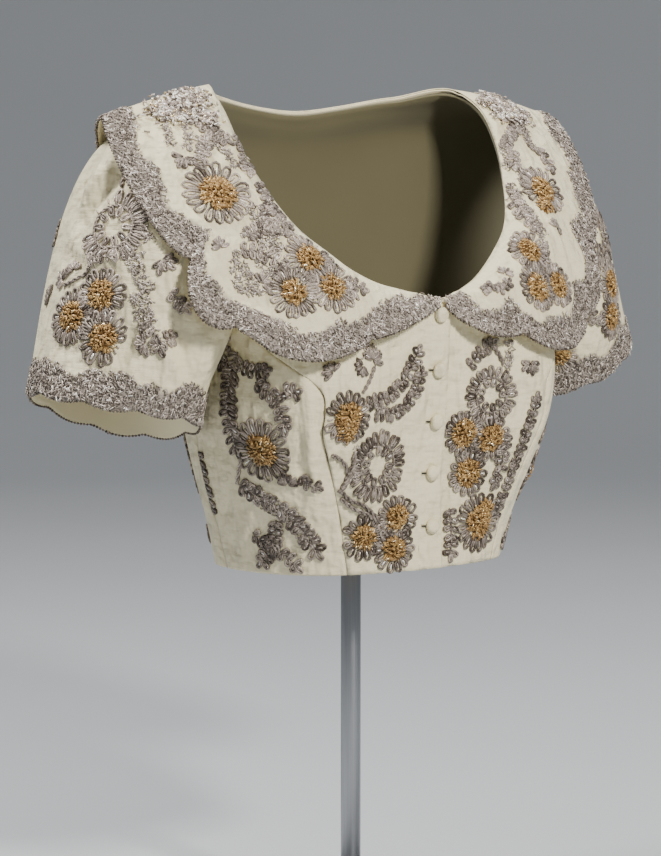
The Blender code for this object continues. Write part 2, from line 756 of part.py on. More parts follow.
def make_board(inner):
    """A floor board just inside the form's wall, near its lower edge."""
    low = inner[:2].reshape(2, -1, 3)
    height = HEM_HEIGHT + BOARD_LOW
    share = 0.75
    ring = low[0] * (1 - share) + low[1] * share
    ring = ring - unit(ring * np.array([1, 1, 0])) * BOARD_EDGE_GAP
    mesh = bmesh.new()
    bottom = [mesh.verts.new((x, y, height)) for x, y, _ in ring]
    face = mesh.faces.new(bottom)
    raised = bmesh.ops.extrude_face_region(mesh, geom=[face])
    moved = [item for item in raised["geom"] if isinstance(item, bmesh.types.BMVert)]
    bmesh.ops.translate(mesh, verts=moved, vec=(0, 0, BOARD_THICK))
    bmesh.ops.recalc_face_normals(mesh, faces=mesh.faces)
    finish("form_board", mesh, WOOD, 0.6, 0.0)


def make_stand():
    bevel = 0.002
    hub_radius, hub_top = 0.018, 0.032
    bore = POLE_RADIUS + SEAM_GAP
    base = (
        (0.0, 0.0),
        (BASE_RADIUS, 0.0),
        (BASE_RADIUS, BASE_THICK - bevel),
        (BASE_RADIUS - bevel, BASE_THICK),
        (hub_radius, BASE_THICK),
        (hub_radius, hub_top),
        (bore, hub_top),
        (bore, BASE_THICK),
        (0.0, BASE_THICK),
    )
    turned_object("stand_base", base, 40, STEEL, 0.35, 1.0)
    under = HEM_HEIGHT + BOARD_LOW - SEAM_GAP
    plate_radius, plate_thick, socket_radius, socket_drop = 0.036, 0.004, 0.0145, 0.026
    flange = (
        (0.0, under),
        (plate_radius, under),
        (plate_radius, under - plate_thick),
        (socket_radius, under - plate_thick),
        (socket_radius, under - socket_drop),
        (bore, under - socket_drop),
        (bore, under - plate_thick),
        (0.0, under - plate_thick),
    )
    turned_object("stand_flange", flange, 24, STEEL, 0.35, 1.0)
    low = BASE_THICK + SEAM_GAP
    high = under - plate_thick - SEAM_GAP
    pole = ((0.0, low), (POLE_RADIUS, low), (POLE_RADIUS, high), (0.0, high))
    turned_object("stand_pole", pole, 24, STEEL, 0.3, 1.0)


def main():
    for old in list(bpy.data.objects):
        bpy.data.objects.remove(old)
    make_fronts()
    make_side_fronts()
    make_back()
    make_collar([body_skin()] + make_sleeves())
    make_buttons()
    make_board(make_form())
    make_stand()


main()
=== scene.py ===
"""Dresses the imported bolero: cloth with its folds, beadwork, covered buttons, form and stand."""

import functools
import json
import math

import bmesh
import bpy
import numpy as np
from mathutils import Matrix, Vector
from mathutils.bvhtree import BVHTree


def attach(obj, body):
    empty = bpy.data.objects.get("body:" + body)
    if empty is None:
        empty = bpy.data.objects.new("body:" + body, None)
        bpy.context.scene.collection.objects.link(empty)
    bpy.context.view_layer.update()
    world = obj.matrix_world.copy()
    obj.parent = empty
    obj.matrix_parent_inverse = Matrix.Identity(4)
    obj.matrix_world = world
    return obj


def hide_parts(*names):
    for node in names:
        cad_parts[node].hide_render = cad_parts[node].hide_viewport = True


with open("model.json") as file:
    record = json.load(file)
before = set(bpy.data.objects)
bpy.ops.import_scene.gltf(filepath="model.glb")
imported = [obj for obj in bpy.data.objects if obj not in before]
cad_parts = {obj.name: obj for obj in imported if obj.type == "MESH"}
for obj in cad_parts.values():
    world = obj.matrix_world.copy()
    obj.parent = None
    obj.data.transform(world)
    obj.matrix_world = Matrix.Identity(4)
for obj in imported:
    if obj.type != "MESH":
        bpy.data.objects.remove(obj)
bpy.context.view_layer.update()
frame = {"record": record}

bl_info = {
    "name": "Beaded bolero",
    "version": (1, 0, 0),
    "blender": (4, 5, 0),
    "location": "View3D > Sidebar > Bolero",
    "description": "Builds a beaded bolero jacket on its display form and stand",
    "category": "Add Mesh",
}

SLOTS = {material["slot"]: material for material in frame["record"]["materials"]}

# Sizes shared with the part's solids
HEM_HEIGHT = 0.330
CLOTH = 0.0015
SEAM_GAP = 0.0003
OVERLAP_GAP = 0.0009
LINING_GAP = 0.0029
FORM_WALL = 0.003
BAND_DEPTH = 0.027
BAND_FADE = 0.004
BAND_RAISE = 0.0012
SIDE_SEAM = 92.0
OVERLAP_X = 0.011
UNDERLAP_X = 0.013

# How far from the middle the lapping front lies flat again, and over what width it rises
LAP_REACH, LAP_SLOPE = 0.032, 0.014

# Where the form's shoulders carry the jacket: angle, its width, level, its width, rise
SHOULDER_SEAT = (97.0, 13.0, 0.93, 0.05, 0.00245)

# How the gap between the form and the jacket closes at the neck: share, level, over what
NECK_CLOSING = (0.85, 0.93, 0.05)

# The covered buttons, and their heights above the hem
BUTTON_RADIUS = 0.0068
BUTTON_DOME = 0.0050
BUTTON_EDGE = 0.0012
BUTTON_SEAT = 0.0009
BUTTON_HEIGHTS = (0.2225, 0.1755, 0.1310, 0.0860, 0.0400)

# The pole, the base with its hub, and the flange's plate and socket under the board
POLE_RADIUS = 0.009
BASE_RADIUS = 0.130
BASE_THICK = 0.010
BOARD_LOW = 0.016
HUB_RADIUS, HUB_TOP = 0.018, 0.032
PLATE_RADIUS, PLATE_THICK = 0.036, 0.004
SOCKET_RADIUS, SOCKET_DROP = 0.0145, 0.026

# The thickness of the silk as shown, and the form's lowest and highest level
SILK = 0.0010
FORM_LEVELS = (0.035, 0.995)

# Seams: how far the cloth dips at them, and over what width
SEAM_DIP = 0.0007
SEAM_SPREAD = 0.0022

# The photo's frame and the camera that sees the jacket as the photo does
PHOTO_WIDE, PHOTO_HIGH = 661, 856
FOCAL_PIXELS = 2818.0
SENSOR = 36.0
CAMERA_AWAY = 2.5
CAMERA_RISE = 0.362
CAMERA_LOOKS_DOWN = 5.63
CAMERA_ASIDE = 0.0182
CAMERA_RIGHT = np.array([0.8, -0.6, 0.0])
CAMERA_BACK = np.array([-0.6, -0.8, 0.0])

# How far away the jacket lies, as shares of the camera's distance
JACKET_DEPTHS = (0.92, 1.04)

# Each cloth piece: its cut's width, length and area in metres and square metres
CUTS = {
    "front_left": (0.21, 0.42, 0.055),
    "front_right": (0.21, 0.42, 0.055),
    "side_front_left": (0.16, 0.24, 0.028),
    "side_front_right": (0.16, 0.24, 0.028),
    "back": (0.42, 0.44, 0.160),
    "sleeve_left": (0.48, 0.27, 0.088),
    "sleeve_right": (0.48, 0.27, 0.090),
    "collar": (0.60, 0.45, 0.118),
}
BODY_PIECES = ("front_left", "front_right", "side_front_left", "side_front_right", "back")
SLEEVE_PIECES = ("sleeve_left", "sleeve_right")

# Body rings from hem to neck: level, half width, front and back depth, squareness in front
# and behind, heights at the front, side and back above the hem, bust fullness
RINGS = (
    (0.00, 0.132, 0.115, 0.085, 2.2, 2.2, 0.003, 0.001, 0.002, 0.005),
    (0.15, 0.142, 0.113, 0.084, 2.3, 2.2, 0.045, 0.040, 0.043, 0.010),
    (0.30, 0.156, 0.113, 0.088, 2.4, 2.2, 0.090, 0.087, 0.095, 0.022),
    (0.42, 0.165, 0.118, 0.096, 2.5, 2.3, 0.130, 0.135, 0.150, 0.028),
    (0.54, 0.170, 0.121, 0.103, 2.6, 2.4, 0.165, 0.200, 0.215, 0.026),
    (0.62, 0.176, 0.123, 0.107, 2.6, 2.5, 0.185, 0.245, 0.262, 0.018),
    (0.70, 0.183, 0.124, 0.109, 2.6, 2.6, 0.200, 0.295, 0.300, 0.010),
    (0.78, 0.189, 0.1245, 0.108, 2.6, 2.6, 0.212, 0.345, 0.335, 0.004),
    (0.86, 0.190, 0.1245, 0.103, 2.5, 2.5, 0.222, 0.385, 0.365, 0.000),
    (0.94, 0.165, 0.1235, 0.094, 2.3, 2.3, 0.230, 0.404, 0.384, 0.000),
)
BUST_ANGLE = 46.0
BUST_WIDTH = 20.0

# The neckline from the centre front round to the centre back: angle, reach, height
NECK = (
    (0.0, 0.1210, 0.2340),
    (18.0, 0.1175, 0.2425),
    (34.0, 0.1190, 0.2550),
    (45.0, 0.1270, 0.2735),
    (57.0, 0.1365, 0.2970),
    (63.0, 0.1395, 0.3140),
    (70.0, 0.1420, 0.3370),
    (77.0, 0.1445, 0.3630),
    (85.0, 0.1430, 0.3920),
    (95.0, 0.1385, 0.4110),
    (125.0, 0.1180, 0.4090),
    (150.0, 0.0970, 0.4010),
    (180.0, 0.0850, 0.3960),
)

# The angle at which the rings' front ends, and the level from which they rise as the neckline
NECK_SIDE = 95
LIKE_NECK = 0.86

# The princess seam: level, angle
PRINCESS = ((0.00, 38.2), (0.20, 41.0), (0.40, 44.6), (0.53, 47.8), (0.61, 70.0))

# The armhole, an oval in angle and level
ARMHOLE_ANGLE = 92.0
ARMHOLE_LEVEL = 0.70
ARMHOLE_FRONT = 27.0
ARMHOLE_BACK = 24.0
ARMHOLE_RISE = 0.16
ARMHOLE_STEPS = 32
PRINCESS_STEP = 11

# How much further back the shoulder seam lies at the neck than at the armhole
SHOULDER_LEAN = 6.0

# Rows of the body between those of the armhole
LOW_ROWS = 12
SHOULDER_ROWS = 4

# How much a side front's columns crowd towards the bust
SIDE_FRONT_CROWDING = 1.2

# Each cuff's ring as its sleeve hangs: height, rise outwards, fall towards the back, sag,
# and the angle round the arm at which the ring doesn't sag
CUFF_CENTRE = (0.243, 0.008)
CUFFS = {
    "right": (0.146, 0.29, 0.09, 0.0085, 143.0),
    "left": (0.166, 0.32, 0.08, 0.0160, 15.0),
}
CUFF_RADIUS_ACROSS = 0.072
CUFF_RADIUS_ALONG = 0.075
CUFF_SCALLOPS = 10
CUFF_SCALLOP_DEPTH = 0.004

# How the sleeve leaves the armhole and reaches the cuff: angle round the arm from the top
# towards the front, then the pull at the armhole and the pull at the cuff as x, y, z
SLEEVE_PULLS = (
    (0.0, 0.074, 0.004, 0.012, -0.046, 0.006, 0.129),
    (45.0, 0.056, -0.014, 0.004, -0.038, -0.008, 0.090),
    (90.0, 0.032, -0.022, -0.004, -0.020, -0.016, 0.056),
    (135.0, 0.020, -0.012, -0.008, -0.004, -0.008, 0.036),
    (180.0, 0.015, 0.000, -0.010, 0.010, 0.000, 0.030),
    (225.0, 0.022, 0.014, -0.008, -0.004, 0.008, 0.036),
    (270.0, 0.044, 0.028, 0.000, -0.016, 0.018, 0.066),
    (315.0, 0.072, 0.022, 0.010, -0.028, 0.018, 0.105),
    (360.0, 0.074, 0.004, 0.012, -0.046, 0.006, 0.129),
)

# Places down the arm of the solid sleeve's rings
SLEEVE_PLACES = (0, 0.07, 0.17, 0.30, 0.44, 0.57, 0.69, 0.79, 0.81, 1.0)

# Sleeve folds: angle round the arm, its width, place down the arm, its width, depth
SLEEVE_FOLDS = (
    (35.0, 22.0, 0.45, 0.30, 0.0035),
    (75.0, 18.0, 0.35, 0.25, -0.0030),
    (115.0, 20.0, 0.45, 0.28, 0.0040),
    (250.0, 24.0, 0.45, 0.30, 0.0035),
    (300.0, 22.0, 0.40, 0.30, -0.0030),
)

# Collar points between two scallops: neck angle, x, y, z, then the depth of the scallop
# that follows, and its lean (1 is even)
COLLAR_NOTCHES = (
    (1.2, 0.003, -0.1285, 0.2290, 0.012, 1.0),
    (36.0, 0.082, -0.1330, 0.2020, 0.022, 1.0),
    (60.0, 0.200, -0.0990, 0.2140, 0.021, 1.0),
    (73.0, 0.224, -0.0790, 0.2720, 0.014, 0.7),
    (96.0, 0.248, 0.0150, 0.3870, 0.004, 1.0),
    (116.0, 0.196, 0.0740, 0.3360, 0.018, 1.0),
    (146.0, 0.128, 0.1060, 0.2960, 0.020, 1.0),
)

# The collar's uneven sides, its bow and outline, and how it lies over the cloth below
COLLAR_RIGHT_FRONT_SCALLOP = 0.002
COLLAR_LEFT_TUCK = 0.018
COLLAR_LEFT_SCALLOP = 0.012
COLLAR_BOW = 0.003
COLLAR_ROUNDING = 0.55
SCALLOP_FULLNESS = 0.8
COLLAR_CLEARANCE = 0.0034
COLLAR_SEAT = 0.0024
RISE_STEP = 0.001
RISE_STEPS, DEEPEST_STEP = range(-8, 60), -4
COLLAR_NECK_SEAT = 0.0013

# Steps round the neck in each scallop, and the rows from the neck to the edge that rise
COLLAR_STEPS, COLLAR_FINE_STEPS = 7, 20
COLLAR_SHARES = np.array([0, 0.09, 0.24, 0.45, 0.72, 1.0, 1.08, 2.0])

# The beaded bands: the most of a piece's reach that the collar's band and the beads may take,
# and the waves of the inner edge: share of the depth, length, start
BAND_MOST, BEADED_MOST = 0.8, 0.92
BAND_WAVES = ((0.16, 0.0105, 0), (0.07, 0.0043, 1.3))

# Beadwork: the materials' places in bead_finishes
PEWTER, GOLD, GLINT_BEAD, TAUPE, GOLD_HIGHLIGHT = range(5)

# A petal's loop: shares of its length and width, how its points stray, and its inner strand
PETAL_FORWARD = np.array([0, 0.30, 0.64, 0.92, 1.0, 0.92, 0.64, 0.30, 0])
PETAL_ASIDE = np.array([-0.3, -0.78, -1.05, -0.78, 0, 0.78, 1.05, 0.78, 0.3]) / 2
PETAL_WAVER = 0.00025
PETAL_INSIDE = np.array([0.25, 0.68])
# The share of petals whose inner strand is near-white, as painted glints
GLINT_BEAD_PETALS = 0.14
# Petals' tone ranges: darker on the fronts and side fronts as painted shade, lighter on the collar,
# sleeves and back as painted light
FRONT_SHADE_TONES, OTHER_LIT_TONES = (0.0, 0.66), (0.10, 0.90)

# Room for each petal round a flower: its least and its share of the reach
FLOWER_PITCH, FLOWER_WIDENING = 0.0050, 0.19

# A wreath: its ring's share from hole to reach, room for each loop, their width, its cord
WREATH_RING, WREATH_PITCH, WREATH_LOOP, WREATH_CORD = 0.42, 0.0072, 0.0066, 0.0030
STEM_CORD = 0.0024
SPRIG_TURNS = np.array([-80, -45, -12, 22, 55, 88])

# Strands of a gold middle of 14 mm, the share in pale gold as painted highlights, and how far a
# strand arches
MOUND_STRANDS = 125
GOLD_HIGHLIGHT_SHARE = 0.07
ARCHED = np.array([0.8, 1.1, 0.8])

# The cloth's area for each strand of a scroll and each bead of a cluster
SCROLL_AREA = 3.3e-6
CLUSTER_AREA = 2.6e-6

# Draws from 0 to 1 that give each material's share of a cluster and each shape's of a border
# Near-white beads in clusters and borders are painted glints, pale gold ones painted highlights
CLUSTER_SHARES = ((GLINT_BEAD, 0.0, 0.30), (GOLD_HIGHLIGHT, 0.30, 0.38), (TAUPE, 0.38, 1.0))
BAND_SHARES = (
    ("straight", PEWTER, 0.0, 0.50),
    ("straight", GLINT_BEAD, 0.50, 0.57),
    ("bent", PEWTER, 0.57, 0.80),
    ("bent", TAUPE, 0.80, 1.0),
)

# How far a strand may pass a cloth's edge, and the buttonholes' place and length
PAST_EDGE = 0.0006
HOLE_START = np.array([-0.0045, 0, 0.0002])
HOLE_LENGTH = 0.0066

# The studio: the floor's flat and curved parts, its wall, and the height that is lit
FLAT, CURVE, WALL_TOP = 3.5, 2.5, 6.5
LIT_HEIGHT = 0.22
AIR_COLOUR, AIR_STRENGTH = (0.86, 0.88, 0.92, 1.0), 0.37

# Lights: how far right, up and forward as the camera sees it, size and colour
LIGHTS = {
    "key_light": ((1.25, 1.05, -1.9), 0.30, (1.0, 0.965, 0.91)),
    "side_light": ((-1.3, 2.1, -0.3), 0.7, (1.0, 0.98, 0.95)),
    "rim_light": ((1.2, 1.5, 1.2), 0.8, (0.95, 0.97, 1.0)),
}

# Folds pressed into each cloth piece: width and depth in millimetres, then a path. Its places are
# pixels of the photo, or shares of the piece's grid: up a panel and round the body, down a sleeve
# and round the arm, or round the neck and out to the collar's edge
FOLDS = {
    "side_front_right": (
        (5.4, -4.3, (297, 382), (299, 430), (304, 492)),
        (4.8, 3.5, (305, 384), (308, 432), (311, 486)),
        (5.1, -3.0, (246, 372), (240, 350), (226, 336)),
        (6.1, 3.0, (252, 500), (247, 530), (240, 560)),
        (4.4, -2.5, (232, 470), (228, 500), (222, 530)),
        (3.7, 2.0, (300, 500), (306, 520), (312, 530)),
    ),
    "side_front_left": (
        (5.4, -4.1, (0.86, 0.2), (0.62, 0.22), (0.35, 0.28)),
        (5.1, 3.5, (0.88, 0.34), (0.64, 0.36), (0.42, 0.38)),
        (5.8, -3.0, (0.3, 0.75), (0.16, 0.7), (0.04, 0.72)),
    ),
    "front_right": (
        (5.1, -3.5, (335, 515), (339, 524), (345, 532)),
        (7.6, 3.0, (322, 380), (326, 430), (335, 480)),
        (5.1, -3.0, (424, 538), (418, 552), (405, 568)),
        (8.5, -2.6, (428, 330), (424, 352), (414, 366)),
        (5.4, 2.5, (426, 386), (422, 402), (412, 424)),
        (4.1, -2.0, (330, 398), (336, 440), (338, 480)),
        (3.4, -1.3, (405, 432), (414, 436), (424, 434)),
        (3.4, -1.3, (402, 492), (414, 498), (424, 495)),
        (3.4, 1.3, (406, 504), (416, 509), (426, 506)),
        (4.1, -2.0, (386, 352), (400, 346), (414, 336)),
    ),
    "front_left": (
        (5.4, -3.5, (447, 486), (444, 520), (441, 552)),
        (5.1, 2.6, (453, 330), (456, 350), (462, 372)),
        (6.8, -2.6, (0.1, 0.85), (0.05, 0.88), (0.01, 0.92)),
    ),
    "back": (
        (8.5, -4.3, (0.02, 0.35), (0.2, 0.37), (0.36, 0.34)),
        (8.5, -4.3, (0.02, 0.66), (0.18, 0.63), (0.37, 0.65)),
        (10.2, 3.6, (0.1, 0.48), (0.3, 0.5), (0.52, 0.51)),
        (8.5, -4.1, (0.3, 0.08), (0.24, 0.2), (0.2, 0.32)),
        (8.5, -3.5, (0.34, 0.93), (0.27, 0.82), (0.22, 0.68)),
        (6.8, 3.0, (0.04, 0.14), (0.16, 0.12), (0.28, 0.1)),
    ),
    "sleeve_right": (
        (7.5, -6.3, (104, 146), (86, 176), (74, 214)),
        (8.2, 4.5, (118, 150), (104, 172), (94, 196)),
        (9.0, -7.5, (168, 322), (180, 344), (190, 376)),
        (7.5, 6.3, (158, 318), (166, 344), (172, 372)),
        (7.5, -5.7, (134, 322), (128, 346), (124, 366)),
        (9.0, -7.1, (0.12, 0.2), (0.34, 0.24), (0.6, 0.22)),
        (9.0, 5.7, (0.14, 0.3), (0.38, 0.33), (0.62, 0.32)),
        (7.5, -5.7, (0.1, 0.42), (0.3, 0.43), (0.52, 0.4)),
        (7.5, 6.3, (126, 156), (104, 174), (82, 206)),
        (6.8, -6.3, (134, 164), (113, 182), (92, 206), (78, 234)),
        (6.8, 4.8, (84, 254), (94, 264), (108, 258), (122, 266)),
        (7.5, -5.4, (58, 252), (74, 260), (90, 274)),
        (6.0, 4.5, (146, 186), (152, 204), (150, 222)),
    ),
    "sleeve_left": (
        (7.5, -6.3, (0.1, 0.04), (0.26, 0.06), (0.46, 0.05)),
        (9.0, -7.5, (0.14, 0.24), (0.4, 0.28), (0.66, 0.27)),
        (7.5, 6.3, (0.12, 0.33), (0.4, 0.36), (0.62, 0.37)),
        (9.0, -7.1, (0.12, 0.66), (0.36, 0.68), (0.64, 0.66)),
        (9.0, 5.7, (0.16, 0.78), (0.38, 0.8), (0.6, 0.79)),
    ),
    "collar": (
        (4.4, 3.0, (166, 122), (170, 140), (168, 158)),
        (3.8, 2.8, (186, 130), (179, 143), (174, 158)),
        (3.8, 2.8, (207, 150), (196, 166), (184, 182)),
        (3.8, 2.8, (234, 146), (222, 158), (212, 168)),
        (5.0, -1.9, (176, 150), (181, 176), (178, 202)),
        (5.6, 2.8, (228, 296), (246, 316), (270, 328)),
        (5.0, -1.8, (221, 258), (228, 282), (242, 302)),
        (5.0, 2.7, (547, 200), (552, 224), (562, 252)),
        (5.0, -1.8, (494, 150), (500, 188), (506, 222)),
        (5.0, 2.7, (534, 128), (544, 144), (550, 164)),
        (6.2, -2.1, (252, 152), (258, 166), (262, 190)),
        (7.5, 3.0, (196, 214), (202, 236), (206, 262)),
        (7.5, -2.1, (0.44, 0.1), (0.445, 0.26), (0.45, 0.42)),
        (7.5, 3.0, (0.55, 0.12), (0.556, 0.28), (0.56, 0.4)),
    ),
}

